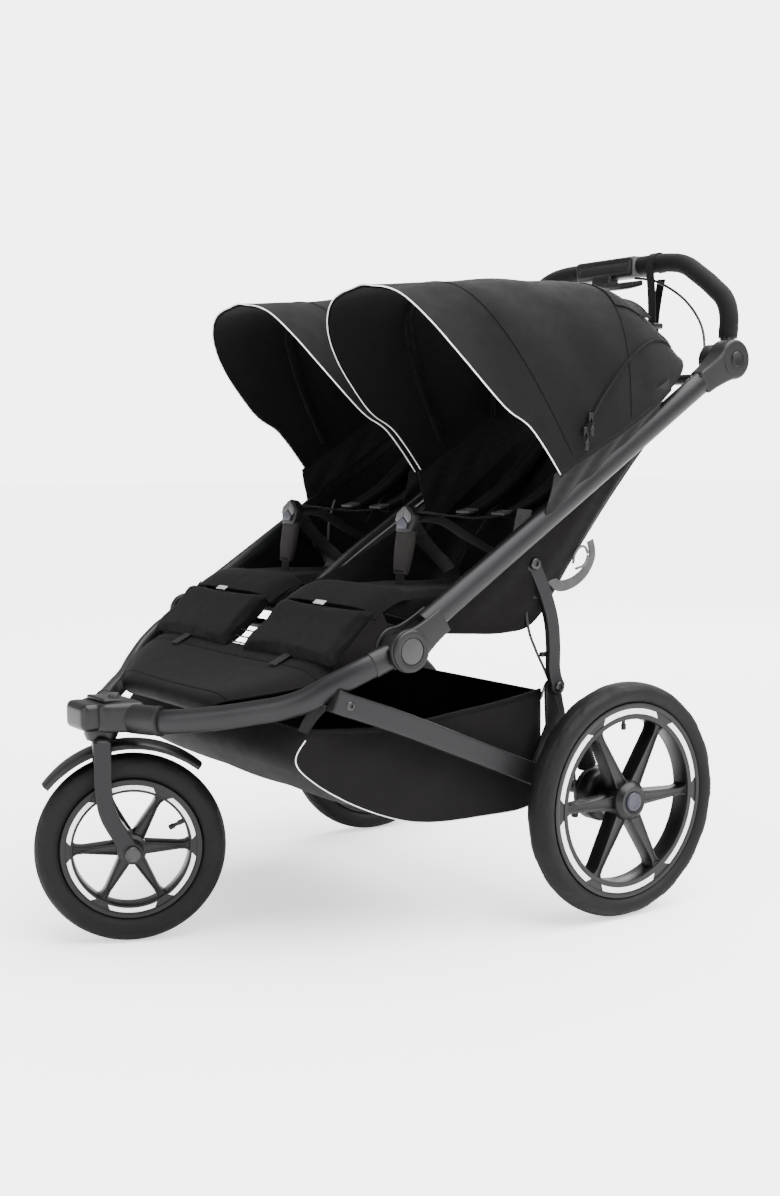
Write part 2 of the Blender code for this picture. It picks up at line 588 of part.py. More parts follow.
def make_canopies(mats, upper, bows):
    """Canopies as thin shells over bows, open below and in front."""
    front = ((0.1845, -0.157, 0.748), (0.1845, -0.226, 0.830), (0.182, -0.292, 0.874), (0.165, -0.350, 0.935),
             (0.136, -0.390, 0.990), (0.085, -0.412, 1.031), (0.0, -0.415, 1.046))
    stations = (((-0.120, 0.765), (-0.300, 1.054), 0.1845), ((-0.070, 0.790), (-0.160, 1.064), 0.1845),
                ((-0.010, 0.822), (-0.020, 1.070), 0.1840), ((0.050, 0.858), (0.095, 1.045), 0.1810),
                ((0.098, 0.890), (0.190, 0.985), 0.1700))
    for side, sign in SIDES:
        ribs = [[Vector(p) for p in front] + [Vector((-x, y, z)) for x, y, z in reversed(front[:-1])]]
        ribs += [arch(foot, crown, half, 13) for foot, crown, half in stations]
        lining = [[Vector((p.x * 0.972, p.y + 0.002, p.z - CANOPY_WALL)) for p in rib] for rib in ribs]
        shells = [ribs, lining]
        verts = [at(CANOPY_X * sign + p.x, p.y, p.z) for shell in shells for rib in shell for p in rib]
        n, m = len(ribs[0]), len(ribs)
        faces = []
        for k in range(2):
            for r in range(m - 1):
                for i in range(n - 1):
                    o = k * n * m + r * n + i
                    faces.append((o, o + 1, o + n + 1, o + n))
        rim = list(range(n)) + [r * n + n - 1 for r in range(1, m)]
        rim += [(m - 1) * n + i for i in reversed(range(n - 1))] + [r * n for r in reversed(range(1, m - 1))]
        for a, b in zip(rim, rim[1:] + rim[:1]):
            faces.append((a, b, b + n * m, a + n * m))
        solid("canopy_" + side, verts, faces, mats["fabric"], upper)
        hoop = [at(CANOPY_X * sign + p.x * 0.945, p.y + 0.012, p.z - 0.0105) for p in ribs[0][2:-2]]
        feet = [at(CANOPY_X * sign + s * 0.174, BOW_PIVOT[0], BOW_PIVOT[1]) for s in (1, -1)]
        hoop = [feet[0], *hoop, feet[1]]
        solid("canopy_bow_" + side, *loft(sweep(hoop, oval(0.006, 0.006, 6, 2), Vector((0, 1, 0.35)))),
              mats["plastic"], bows[side])


def make_basket(mats, rail):
    outer = ((-0.572, 0.362), (-0.604, 0.322), (-0.567, 0.286), (-0.494, 0.240), (-0.411, 0.206),
             (-0.337, 0.190),
             (-0.125, 0.186), (-0.118, 0.230), (-0.116, 0.385), (-0.250, 0.372), (-0.427, 0.358))
    inner = ((-0.575, 0.400), (-0.596, 0.323), (-0.563, 0.293), (-0.491, 0.247), (-0.409, 0.213),
             (-0.336, 0.197),
             (-0.132, 0.193), (-0.125, 0.232), (-0.123, 0.420))
    basket = solid("basket", *plate(outer, -0.292, 0.292), mats["fabric"], rail)
    cut(basket, solid("tool_basket_inside", *plate(inner, -0.286, 0.286), mats["fabric"], rail))


def make_cable(mats, upper):
    """Brake cable, clipped under the left upper tube from the handlebar housing to the strut lug."""
    route = ((0.322, 0.214, 0.885), (0.322, 0.120, 0.8235), (0.322, 0.000, 0.746), (0.322, -0.100, 0.6815),
             (0.3205, -0.134, 0.6605))
    data = bpy.data.curves.new("brake_cable", "CURVE")
    data.dimensions = "3D"
    data.bevel_depth = 0.0024
    data.bevel_resolution = 2
    data.use_fill_caps = True
    points = curve([at(*p) for p in route], 6)
    spline = data.splines.new("POLY")
    spline.points.add(len(points) - 1)
    for point, place in zip(spline.points, points):
        point.co = (*(place - PIVOTS[upper.name]), 1)
    data.materials.append(mats["rubber"])
    obj = bpy.data.objects.new("brake_cable", data)
    bpy.context.collection.objects.link(obj)
    obj.parent = upper


def build():
    clear_scene()
    mats = {
        "tube": finish("satin_tube", (0.045, 0.045, 0.048), 0.35, 0.6),
        "plastic": finish("black_plastic", (0.02, 0.02, 0.021), 0.55),
        "rim": finish("rim_plastic", (0.025, 0.025, 0.026), 0.45),
        "tyre": finish("tyre_rubber", (0.018, 0.018, 0.018), 0.8),
        "rubber": finish("bellows_rubber", (0.015, 0.015, 0.015), 0.7),
        "steel": finish("axle_steel", (0.3, 0.3, 0.31), 0.3, 1.0),
        "foam": finish("grip_foam", (0.015, 0.015, 0.016), 0.9),
        "fabric": finish("black_fabric", (0.012, 0.012, 0.013), 0.95),
    }
    root = make_body("front_frame", at(0, STEER_Y, 0))
    steer = make_body("steering_axis", at(0, STEER_Y, 0), root, STEER)
    spin = make_body("front_wheel_axis", at(0, STEER_Y + TRAIL, FRONT_R), steer)
    knob = make_body("lock_button_axis", at(0, KNOB_Y, 0.395), root)
    upper = make_body("fold_axis", at(0, *FOLD), root)
    handle = make_body("handle_axis", at(0, *HANDLE_PIVOT), upper)
    lever = make_body("lever_axis", at(0, 0.304, 1.105), handle)
    buttons = {s: make_body("angle_button_axis_" + s, at(0.365 * k, *HANDLE_PIVOT), upper) for s, k in SIDES}
    rail = make_body("rail_axis", at(0, *RAIL_PIVOT), root)
    axle = make_body("suspension_axis", at(0, 0, REAR_R), rail)
    struts = {s: make_body("strut_axis_" + s, at(STRUT_X * k, *STRUT_TOP), upper) for s, k in SIDES}
    wheels = {s: make_body("wheel_axis_" + s, at(REAR_TRACK * k, 0, REAR_R), axle) for s, k in SIDES}
    caps = {s: make_body("release_axis_" + s, at(0.395 * k, 0, REAR_R), wheels[s]) for s, k in SIDES}
    backs = {s: make_body("recline_axis_" + s, at(SEAT_X * k, *RECLINE), upper) for s, k in SIDES}
    bows = {s: make_body("bow_axis_" + s, at(CANOPY_X * k, *BOW_PIVOT), upper) for s, k in SIDES}
    releases = {s: make_body("buckle_axis_" + s, at(SEAT_X * k, -0.33, 0.665), upper) for s, k in SIDES}
    make_front_frame(mats, root)
    make_fork(mats, steer, spin, knob)
    make_upper_frame(mats, upper)
    make_handlebar(mats, handle, lever, buttons)
    make_rear(mats, rail, axle, struts)
    make_rear_wheels(mats, wheels, caps)
    make_seats(mats, upper, backs)
    make_buckles(mats, upper, releases)
    make_canopies(mats, upper, bows)
    make_basket(mats, rail)
    make_cable(mats, upper)


build()
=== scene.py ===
# %% [markdown]
# # A double jogging stroller, dressed for a portrait
# The frame, the wheels and the joints of this stroller were designed first, as plain solids.
# This lesson loads them as a fixed frame and makes the surfaces that a buyer would see and touch:
# turned rims, rubber tyres, bent tubes, sewn canopies, quilted pads, webbing and buckles.
# Every new piece is modelled at its real place, in metres, and most are then told which body they move with.

# %% Load the frame
import json
import math

import bpy
import numpy as np
from mathutils import Matrix, Vector

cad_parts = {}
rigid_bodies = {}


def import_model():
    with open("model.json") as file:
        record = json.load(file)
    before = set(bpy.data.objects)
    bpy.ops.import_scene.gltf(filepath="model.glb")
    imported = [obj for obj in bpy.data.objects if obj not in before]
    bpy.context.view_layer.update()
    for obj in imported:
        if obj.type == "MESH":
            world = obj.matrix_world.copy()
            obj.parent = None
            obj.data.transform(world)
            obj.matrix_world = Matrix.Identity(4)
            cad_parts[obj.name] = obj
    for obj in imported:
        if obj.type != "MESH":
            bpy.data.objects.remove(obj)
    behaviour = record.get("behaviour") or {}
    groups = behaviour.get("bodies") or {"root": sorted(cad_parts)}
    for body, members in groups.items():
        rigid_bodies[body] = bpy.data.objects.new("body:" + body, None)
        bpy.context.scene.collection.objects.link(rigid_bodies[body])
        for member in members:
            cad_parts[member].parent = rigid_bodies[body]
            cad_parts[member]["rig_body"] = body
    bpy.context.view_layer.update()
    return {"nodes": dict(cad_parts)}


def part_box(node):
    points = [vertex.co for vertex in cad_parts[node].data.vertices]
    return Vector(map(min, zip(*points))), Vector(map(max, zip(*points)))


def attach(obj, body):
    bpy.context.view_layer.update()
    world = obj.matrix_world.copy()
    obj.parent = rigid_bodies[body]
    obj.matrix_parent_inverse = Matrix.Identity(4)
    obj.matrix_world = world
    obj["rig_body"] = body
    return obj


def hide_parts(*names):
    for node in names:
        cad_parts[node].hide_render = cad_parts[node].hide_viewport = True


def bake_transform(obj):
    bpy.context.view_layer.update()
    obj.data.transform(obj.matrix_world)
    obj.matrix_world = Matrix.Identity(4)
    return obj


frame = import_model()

# %% [markdown]
# ## Finding our way around
# All sizes along the stroller are easiest to read from the rear axle, so a helper turns
# "so far ahead of the axle" into a place in the frame. The axle itself is the middle of a rear tyre.
# The left side is +X here, and a sign of +1 or -1 carries a piece from one side to the other.

# %% Places and sides
tyre_low, tyre_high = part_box("rear_left_tyre")
AXLE = (tyre_low + tyre_high) / 2
SIDES = {"left": 1, "right": -1}
SLOPE = 0.645                                        # rise of the long tubes for each metre back
TUBE_X = 0.345


def at(x, y, z):
    """A place x to the side, y behind the rear axle and z above the ground."""
    return Vector((x, AXLE.y + y, z))


def tube_z(y):
    """Height of the long tube's middle at y behind the axle."""
    return 0.778 + SLOPE * y


print("rear axle at", [round(value, 4) for value in AXLE], " long tubes at x =", round(TUBE_X, 4))

# %% [markdown]
# ## Working as by hand
# An operator acts on whatever is selected, so each step first lets go of everything.
# `turned` is a lathe: a circle is drawn, then pushed along its axis and resized, ring after ring.
# `bar` bends a tube: a soft curve through a few points carries an oval along it.
# `panel` is a flat blank, cut to an outline and pushed out to its thickness.

# %% Selection and modifiers
def let_go():
    """Leaves edit mode and deselects everything."""
    if bpy.context.mode != "OBJECT":
        bpy.ops.object.mode_set(mode="OBJECT")
    bpy.ops.object.select_all(action="DESELECT")


def only(piece):
    """Selects one piece and makes it the active one."""
    let_go()
    piece.select_set(True)
    bpy.context.view_layer.objects.active = piece
    return piece


def apply_modifier(piece, kind, **settings):
    """Adds a modifier, sets it and applies it."""
    only(piece)
    modifier = piece.modifiers.new(kind.title(), kind)
    for name, value in settings.items():
        setattr(modifier, name, value)
    bpy.ops.object.modifier_apply(modifier=modifier.name)
    return piece


def smooth(piece, levels):
    """Rounds a mesh by subdividing it."""
    return apply_modifier(piece, "SUBSURF", levels=levels, render_levels=levels)


def pick_faces(piece, test):
    """Opens a piece for editing with only the faces that pass a test selected."""
    only(piece)
    bpy.ops.object.mode_set(mode="EDIT")
    bpy.ops.mesh.select_mode(type="FACE")
    bpy.ops.mesh.select_all(action="DESELECT")
    bpy.ops.object.mode_set(mode="OBJECT")
    for face in piece.data.polygons:
        face.select = test(face)
    bpy.ops.object.mode_set(mode="EDIT")


def edges_rounded(piece, width, segments=2, angle=35):
    """Bevels the sharp edges of a piece."""
    return apply_modifier(piece, "BEVEL", width=width, segments=segments, limit_method="ANGLE",
                          angle_limit=math.radians(angle), harden_normals=False)


def closed_up(piece):
    """Merges doubles, closes open ends and points every face outwards."""
    only(piece)
    bpy.ops.object.mode_set(mode="EDIT")
    bpy.ops.mesh.select_mode(type="VERT")
    bpy.ops.mesh.select_all(action="SELECT")
    bpy.ops.mesh.remove_doubles(threshold=0.00002)
    bpy.ops.mesh.fill_holes(sides=0)
    bpy.ops.mesh.select_all(action="SELECT")
    bpy.ops.mesh.normals_make_consistent(inside=False)
    let_go()
    return piece


def placed(piece):
    """Moves the object's place, turn and size into its mesh."""
    only(piece)
    bpy.ops.object.transform_apply(location=True, rotation=True, scale=True)
    return piece


def joined(name, pieces):
    """Joins several meshes into one piece."""
    only(pieces[0])
    for piece in pieces[1:]:
        piece.select_set(True)
    if len(pieces) > 1:
        bpy.ops.object.join()
    pieces[0].name = name
    return pieces[0]


def copied(piece, name, mirror=False, turn=None):
    """A copy with its own mesh, mirrored across the middle or turned by a matrix."""
    only(piece)
    bpy.ops.object.duplicate()
    copy = bpy.context.object
    copy.name = name
    if mirror:
        copy.data.transform(Matrix.Scale(-1, 4, (1, 0, 0)))
        copy.data.flip_normals()
    if turn is not None:
        copy.data.transform(turn)
    return copy


def finished(piece, body, finish, replaces=(), angle=40):
    """Gives a piece its finish, its smooth shading and the body that it moves with."""
    only(piece)
    piece.data.materials.clear()
    piece.data.materials.append(finish)
    bpy.ops.object.shade_smooth_by_angle(angle=math.radians(angle))
    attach(piece, body)
    if replaces:
        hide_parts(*replaces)
    return piece


# %% The lathe, the tube bender and the panel cutter
def turned(name, profile, centre, axis=(1, 0, 0), sides=64, ring=False):
    """A turned piece from (radius, distance along the axis) steps; a ring is bridged from last to first."""
    let_go()
    axis = Vector(axis).normalized()
    turn = axis.to_track_quat("Z", "Y").to_euler()
    radius, place = profile[0]
    bpy.ops.mesh.primitive_circle_add(vertices=sides, radius=radius, location=centre + axis * place,
                                      rotation=turn, calc_uvs=False)
    piece = bpy.context.object
    piece.name = name
    bpy.ops.object.mode_set(mode="EDIT")
    bpy.ops.mesh.select_mode(type="VERT")
    bpy.ops.mesh.select_all(action="SELECT")
    for new_radius, new_place in profile[1:]:
        shift = axis * (new_place - place)
        bpy.ops.mesh.extrude_region_move(TRANSFORM_OT_translate={"value": shift})
        size = new_radius / radius
        bpy.ops.transform.resize(value=(size, size, size), center_override=centre + axis * new_place)
        radius, place = new_radius, new_place
    if ring:
        bpy.ops.mesh.select_all(action="DESELECT")
        bpy.ops.mesh.select_non_manifold()
        bpy.ops.mesh.bridge_edge_loops()
    closed_up(piece)
    return placed(piece)


def bar(name, route, width, height, sizes=None, twist="Z_UP", detail=10, sides=8, caps=True, soft=True):
    """A tube of oval section, width by height, bent along a soft curve through the route."""
    let_go()
    bpy.ops.curve.primitive_bezier_circle_add(radius=0.5)
    section = bpy.context.object
    section.data.resolution_u = sides
    bpy.ops.object.mode_set(mode="EDIT")
    bpy.ops.transform.resize(value=(width, height, 1), center_override=(0, 0, 0))
    let_go()
    bpy.ops.curve.primitive_bezier_curve_add()
    piece = bpy.context.object
    piece.name = name
    curve = piece.data
    spline = curve.splines[0]
    spline.bezier_points.add(len(route) - 2)
    for i, point in enumerate(spline.bezier_points):
        point.co = route[i]
        point.handle_left_type = point.handle_right_type = "AUTO" if soft else "VECTOR"
        point.radius = sizes[i] if sizes else 1
        point.tilt = 0
    spline.resolution_u = detail
    curve.dimensions = "3D"
    curve.twist_mode = twist
    curve.bevel_mode = "OBJECT"
    curve.bevel_object = section
    curve.use_fill_caps = caps
    only(piece)
    bpy.ops.object.convert(target="MESH")
    bpy.data.objects.remove(section)
    return closed_up(placed(bpy.context.object))


def panel(name, outline, thickness, origin, right, up):
    """A flat panel: an outline of (right, up) steps from its origin, pushed out to its thickness."""
    let_go()
    right, up = Vector(right).normalized(), Vector(up).normalized()
    bpy.ops.mesh.primitive_circle_add(vertices=len(outline), radius=1, fill_type="NGON")
    piece = bpy.context.object
    piece.name = name
    for vertex, (across, along) in zip(piece.data.vertices, outline):
        vertex.co = Vector(origin) + right * across + up * along
    bpy.ops.object.mode_set(mode="EDIT")
    bpy.ops.mesh.select_mode(type="FACE")
    bpy.ops.mesh.select_all(action="SELECT")
    out = right.cross(up) * thickness
    bpy.ops.mesh.extrude_region_move(TRANSFORM_OT_translate={"value": out})
    return closed_up(piece)


def block(name, centre, size, bevel, segments=3, turn=None):
    """A box with rounded edges, turned by a matrix about its own middle."""
    let_go()
    bpy.ops.mesh.primitive_cube_add(size=1)
    piece = bpy.context.object
    piece.name = name
    bpy.ops.object.mode_set(mode="EDIT")
    bpy.ops.mesh.select_mode(type="VERT")
    bpy.ops.mesh.select_all(action="SELECT")
    bpy.ops.transform.resize(value=size, center_override=(0, 0, 0))
    bpy.ops.mesh.bevel(offset=bevel, segments=segments, affect="EDGES")
    let_go()
    if turn is not None:
        piece.data.transform(turn)
    piece.data.transform(Matrix.Translation(centre))
    return piece


def cloth_sheet(name, columns, rows, place):
    """A sheet of cloth: a grid whose every corner is carried to place(across, along), both from 0 to 1."""
    let_go()
    bpy.ops.mesh.primitive_grid_add(x_subdivisions=columns, y_subdivisions=rows, size=1)
    piece = bpy.context.object
    piece.name = name
    for vertex in piece.data.vertices:
        vertex.co = place(vertex.co.x + 0.5, vertex.co.y + 0.5)
    return piece


def along(points, share):
    """A place on a smooth line through a few points, at a share of 0 to 1 from its start."""
    step = share * (len(points) - 1)
    i = min(int(step), len(points) - 2)
    t = step - i
    p0, p1, p2, p3 = (Vector(points[min(max(k, 0), len(points) - 1)]) for k in range(i - 1, i + 3))
    return 0.5 * (2 * p1 + (p2 - p0) * t + (2 * p0 - 5 * p1 + 4 * p2 - p3) * t * t
                  + (3 * p1 - p0 - 3 * p2 + p3) * t ** 3)


print("helpers ready")

# %% [markdown]
# ## The portrait's setting
# A product portrait hides its setting: a pale floor with no edge to be seen, and big soft lights.
# The camera stands ahead of the stroller, to its left, just above the hubs of the handlebar,
# and looks slightly down. A long lens keeps the wheels from swelling towards us.

# %% Camera
CAMERA_TURN = 55.25                                  # degrees from looking straight back
CAMERA_TILT = 5.95                                   # degrees below level
bpy.ops.object.camera_add(location=at(2.206, -1.790, 0.786),
                          rotation=(math.radians(90 - CAMERA_TILT), 0, math.radians(CAMERA_TURN)))
camera = bpy.context.object
camera.name = "portrait_camera"
camera.data.lens = 45.83
camera.data.sensor_width = 36
camera.data.shift_x = 0.01526
camera.data.shift_y = 0.00944
bpy.context.scene.camera = camera
print("camera stands", round((camera.location - AXLE).length, 2), "m from the axle")


# %% Floor, sky and lamps
def lamp(name, place, aim, size, power, shade=1.0):
    """A soft box that looks at a point."""
    turn = (Vector(place) - Vector(aim)).to_track_quat("Z", "Y").to_euler()
    bpy.ops.object.light_add(type="AREA", location=place, rotation=turn)
    light = bpy.context.object
    light.name = name
    light.data.shape = "RECTANGLE"
    light.data.size, light.data.size_y = size
    light.data.energy = power
    light.data.color = (shade, shade, 1)
    return light


let_go()
bpy.ops.mesh.primitive_plane_add(size=60, location=(0, 0, -0.001))
floor = bpy.context.object
floor.name = "studio_floor"
floor_finish = bpy.data.materials.new("pale_floor")
floor_finish.use_nodes = True
floor_paint = floor_finish.node_tree.nodes["Principled BSDF"]
floor_paint.inputs["Base Color"].default_value = (0.95, 0.95, 0.95, 1)
floor_paint.inputs["Roughness"].default_value = 0.9
floor_paint.inputs["Specular IOR Level"].default_value = 0.0
glow = floor_finish.node_tree.nodes.new("ShaderNodeLightPath")
lift = floor_finish.node_tree.nodes.new("ShaderNodeMath")
lift.operation = "MULTIPLY"
lift.inputs[1].default_value = 1.1
floor_finish.node_tree.links.new(glow.outputs["Is Camera Ray"], lift.inputs[0])
floor_finish.node_tree.links.new(lift.outputs["Value"], floor_paint.inputs["Emission Strength"])
floor_paint.inputs["Emission Color"].default_value = (1, 1, 1, 1)
floor.data.materials.append(floor_finish)

SEEN_SKY = 5.2                                       # the backdrop as the lens sees it
FILL = 0.55                                          # the light that it gives back to the stroller
sky = bpy.data.worlds.new("studio_sky")
sky.use_nodes = True
sky_tree = sky.node_tree
sky_light = sky_tree.nodes["Background"]
sky_light.inputs["Color"].default_value = (1, 1, 1, 1)
seen = sky_tree.nodes.new("ShaderNodeLightPath")
strength = sky_tree.nodes.new("ShaderNodeMapRange")
strength.inputs["To Min"].default_value = FILL
strength.inputs["To Max"].default_value = SEEN_SKY
sky_tree.links.new(seen.outputs["Is Camera Ray"], strength.inputs["Value"])
sky_tree.links.new(strength.outputs["Result"], sky_light.inputs["Strength"])
bpy.context.scene.world = sky

bpy.ops.object.light_add(type="SUN", rotation=(math.radians(-14), math.radians(16), 0))
overhead = bpy.context.object
overhead.name = "overhead_light"
overhead.data.energy = 11
overhead.data.angle = math.radians(75)

MIDDLE = Vector((0, 0, 0.55))
lamp("front_softbox", (0.6, -4.2, 2.0), MIDDLE, (2.4, 1.8), 90)
lamp("side_softbox", (4.6, 0.6, 2.2), MIDDLE, (2.6, 1.6), 90)
lamp("rear_softbox", (-2.6, 3.8, 2.6), MIDDLE, (2.4, 2.0), 90)

# %% [markdown]
# ## Finishes
# Nearly everything on this stroller is black, so the finishes have to differ in other ways:
# anodised tube is smooth and catches long highlights, moulded plastic is grained, rubber is dull,
# cloth shows its threads and a soft sheen at its edges, and webbing has ribs.
# Each finish below is a small network of nodes, with some noise in its colour and roughness,
# because no real surface is the same all over.


# %% A base that every finish shares
def shader(name):
    """A new material, with its tree and its Principled shader."""
    finish = bpy.data.materials.new(name)
    finish.use_nodes = True
    return finish, finish.node_tree, finish.node_tree.nodes["Principled BSDF"]


def add(tree, kind, inputs=None, **settings):
    """A node with its settings; inputs are values, or sockets to link."""
    node = tree.nodes.new("ShaderNode" + kind)
    for name, value in settings.items():
        setattr(node, name, value)
    for name, value in (inputs or {}).items():
        if isinstance(value, bpy.types.NodeSocket):
            tree.links.new(value, node.inputs[name])
        else:
            node.inputs[name].default_value = value
    return node


def mottled(tree, paint, coordinates, light, dark, scale):
    """Links slow noise to the colour, between two greys or two colours."""
    noise = add(tree, "TexNoise", {"Vector": coordinates, "Scale": scale, "Detail": 4.0})
    blend = add(tree, "ValToRGB", {"Fac": noise.outputs["Fac"]})
    blend.color_ramp.elements[0].position, blend.color_ramp.elements[1].position = 0.35, 0.65
    blend.color_ramp.elements[0].color = (*dark, 1)
    blend.color_ramp.elements[1].color = (*light, 1)
    tree.links.new(blend.outputs["Color"], paint.inputs["Base Color"])
    return noise


def uneven_roughness(tree, paint, noise, low, high):
    """Spreads the roughness between two values."""
    spread = add(tree, "MapRange", {"Value": noise.outputs["Fac"], "From Min": 0.3, "From Max": 0.7,
                                    "To Min": low, "To Max": high})
    tree.links.new(spread.outputs["Result"], paint.inputs["Roughness"])


def bumped(tree, paint, height, depth, strength=1.0):
    """Turns a height in 0 to 1 into relief of a depth in metres."""
    bump = add(tree, "Bump", {"Height": height, "Distance": depth, "Strength": strength})
    tree.links.new(bump.outputs["Normal"], paint.inputs["Normal"])


def set_constants(paint, **values):
    """Sets plain numbers on the shader's own sockets."""
    for name, value in values.items():
        paint.inputs[name.replace("_", " ")].default_value = value


def grey(value, blue=0.0):
    """A grey, with a little blue if asked."""
    return (value, value, value + blue)


# %% Metal, plastic and rubber
def anodised(name, value, rough):
    """Tube metal: a dark satin coat with very fine speckle."""
    finish, tree, paint = shader(name)
    place = add(tree, "TexCoord").outputs["Object"]
    slow = mottled(tree, paint, place, grey(value * 1.12, 0.001), grey(value * 0.9, 0.001), 9.0)
    uneven_roughness(tree, paint, slow, rough - 0.03, rough + 0.05)
    fine = add(tree, "TexNoise", {"Vector": place, "Scale": 2600.0, "Detail": 2.0})
    bumped(tree, paint, fine.outputs["Fac"], 0.00003, 0.5)
    set_constants(paint, Metallic=0.55, Specular_IOR_Level=0.5)
    return finish


def moulded(name, value, rough, grain=900.0, depth=0.00006, blue=0.0):
    """Plastic from a mould with a leathery grain."""
    finish, tree, paint = shader(name)
    place = add(tree, "TexCoord").outputs["Object"]
    slow = mottled(tree, paint, place, grey(value * 1.15, blue), grey(value * 0.88, blue), 14.0)
    uneven_roughness(tree, paint, slow, rough - 0.04, rough + 0.06)
    cells = add(tree, "TexVoronoi", {"Vector": place, "Scale": grain}, feature="SMOOTH_F1")
    bumped(tree, paint, cells.outputs["Distance"], depth, 0.6)
    set_constants(paint, Specular_IOR_Level=0.3)
    return finish


def vulcanised(name, value):
    """Tyre rubber: dull, a little dusty."""
    finish, tree, paint = shader(name)
    place = add(tree, "TexCoord").outputs["Object"]
    slow = mottled(tree, paint, place, grey(value * 1.2), grey(value * 0.85), 22.0)
    uneven_roughness(tree, paint, slow, 0.58, 0.72)
    fine = add(tree, "TexNoise", {"Vector": place, "Scale": 1400.0, "Detail": 3.0})
    bumped(tree, paint, fine.outputs["Fac"], 0.00008, 0.6)
    set_constants(paint, Specular_IOR_Level=0.2)
    return finish


def foam(name, value):
    """Closed-cell foam of the hand grip: open pores on a soft surface."""
    finish, tree, paint = shader(name)
    place = add(tree, "TexCoord").outputs["Object"]
    slow = mottled(tree, paint, place, grey(value * 1.15), grey(value * 0.85), 30.0)
    uneven_roughness(tree, paint, slow, 0.78, 0.92)
    pores = add(tree, "TexVoronoi", {"Vector": place, "Scale": 620.0})
    bumped(tree, paint, pores.outputs["Distance"], 0.00025, 0.7)
    set_constants(paint, Specular_IOR_Level=0.15, Sheen_Weight=0.04, Sheen_Roughness=0.5)
    return finish


def reflective(name):
    """Reflector tape: bright, with a honeycomb of tiny prisms."""
    finish, tree, paint = shader(name)
    place = add(tree, "TexCoord").outputs["Object"]
    prisms = add(tree, "TexVoronoi", {"Vector": place, "Scale": 520.0}, feature="DISTANCE_TO_EDGE")
    cell = add(tree, "ValToRGB", {"Fac": prisms.outputs["Distance"]})
    cell.color_ramp.elements[0].color = (0.62, 0.63, 0.65, 1)
    cell.color_ramp.elements[1].color = (0.93, 0.93, 0.94, 1)
    cell.color_ramp.elements[1].position = 0.12
    tree.links.new(cell.outputs["Color"], paint.inputs["Base Color"])
    bumped(tree, paint, prisms.outputs["Distance"], 0.0002, 0.5)
    set_constants(paint, Roughness=0.3, Specular_IOR_Level=0.7, Coat_Weight=0.3, Coat_Roughness=0.1)
    return finish


def bare_steel(name, value, rough):
    """Turned steel of bolts and pins, with rings of fine scratches."""
    finish, tree, paint = shader(name)
    place = add(tree, "TexCoord").outputs["Object"]
    scratches = add(tree, "TexNoise", {"Vector": place, "Scale": 1800.0, "Detail": 6.0})
    slow = mottled(tree, paint, place, grey(value * 1.1), grey(value * 0.9), 60.0)
    uneven_roughness(tree, paint, slow, rough, rough + 0.12)
    bumped(tree, paint, scratches.outputs["Fac"], 0.00002, 0.7)
    set_constants(paint, Metallic=1.0)
    return finish


# %% Cloth, mesh and webbing
def threads(tree, place, pitch, flat):
    """The height of a plain weave: two sets of ribs that pass over and under each other."""
    if flat:
        place = add(tree, "Mapping", {"Vector": place, "Scale": (flat[0], flat[1], 1.0)}).outputs["Vector"]
    ribs = [add(tree, "TexWave", {"Vector": place, "Scale": math.pi / pitch / 10, "Distortion": 0.4,
                                  "Detail": 1.0, "Detail Scale": 2.0}, bands_direction=way)
            for way in (("X", "Y") if flat else ("DIAGONAL", "Z"))]
    return add(tree, "Math", {0: ribs[0].outputs["Fac"], 1: ribs[1].outputs["Fac"]}, operation="MAXIMUM")


def woven(name, value, pitch=0.0011, flat=None, sheen=0.25, rough=0.8, depth=0.00018, warm=0.0):
    """Woven cloth. A sheet gives its flat size, so that the weave follows it; a pad leaves it out."""
    finish, tree, paint = shader(name)
    coordinates = add(tree, "TexCoord")
    place = coordinates.outputs["UV"] if flat else coordinates.outputs["Object"]
    slow = mottled(tree, paint, coordinates.outputs["Object"],
                   (value * 1.18 + warm, value * 1.18, value * 1.18),
                   (value * 0.86 + warm, value * 0.86, value * 0.86), 38.0)
    uneven_roughness(tree, paint, slow, rough - 0.05, rough + 0.07)
    weave = threads(tree, place, pitch, flat)
    creases = add(tree, "TexNoise", {"Vector": coordinates.outputs["Object"], "Scale": 16.0, "Detail": 3.0})
    relief = add(tree, "MixRGB", {"Fac": 0.75, "Color1": weave.outputs["Value"],
                                  "Color2": creases.outputs["Fac"]})
    bumped(tree, paint, relief.outputs["Color"], depth * 5, 0.8)
    set_constants(paint, Specular_IOR_Level=0.11, Sheen_Weight=sheen, Sheen_Roughness=0.45)
    return finish


def netting(name, value):
    """Spacer mesh: rows of small round holes, painted darker: partly the dark layer beneath, partly painted
    shade inside the holes.
    """
    finish, tree, paint = shader(name)
    place = add(tree, "TexCoord").outputs["Object"]
    holes = add(tree, "TexVoronoi", {"Vector": place, "Scale": 330.0, "Randomness": 0.15})
    # painted shade: the hole centres are darkened to a quarter of the netting's grey, as if shade fell into
    # them
    cell = add(tree, "ValToRGB", {"Fac": holes.outputs["Distance"]})
    cell.color_ramp.elements[0].color = (*grey(value * 0.25), 1)
    cell.color_ramp.elements[1].color = (*grey(value), 1)
    cell.color_ramp.elements[0].position, cell.color_ramp.elements[1].position = 0.25, 0.5
    tree.links.new(cell.outputs["Color"], paint.inputs["Base Color"])
    bumped(tree, paint, holes.outputs["Distance"], 0.0004, 0.8)
    set_constants(paint, Roughness=0.8, Specular_IOR_Level=0.15, Sheen_Weight=0.05, Sheen_Roughness=0.5)
    return finish


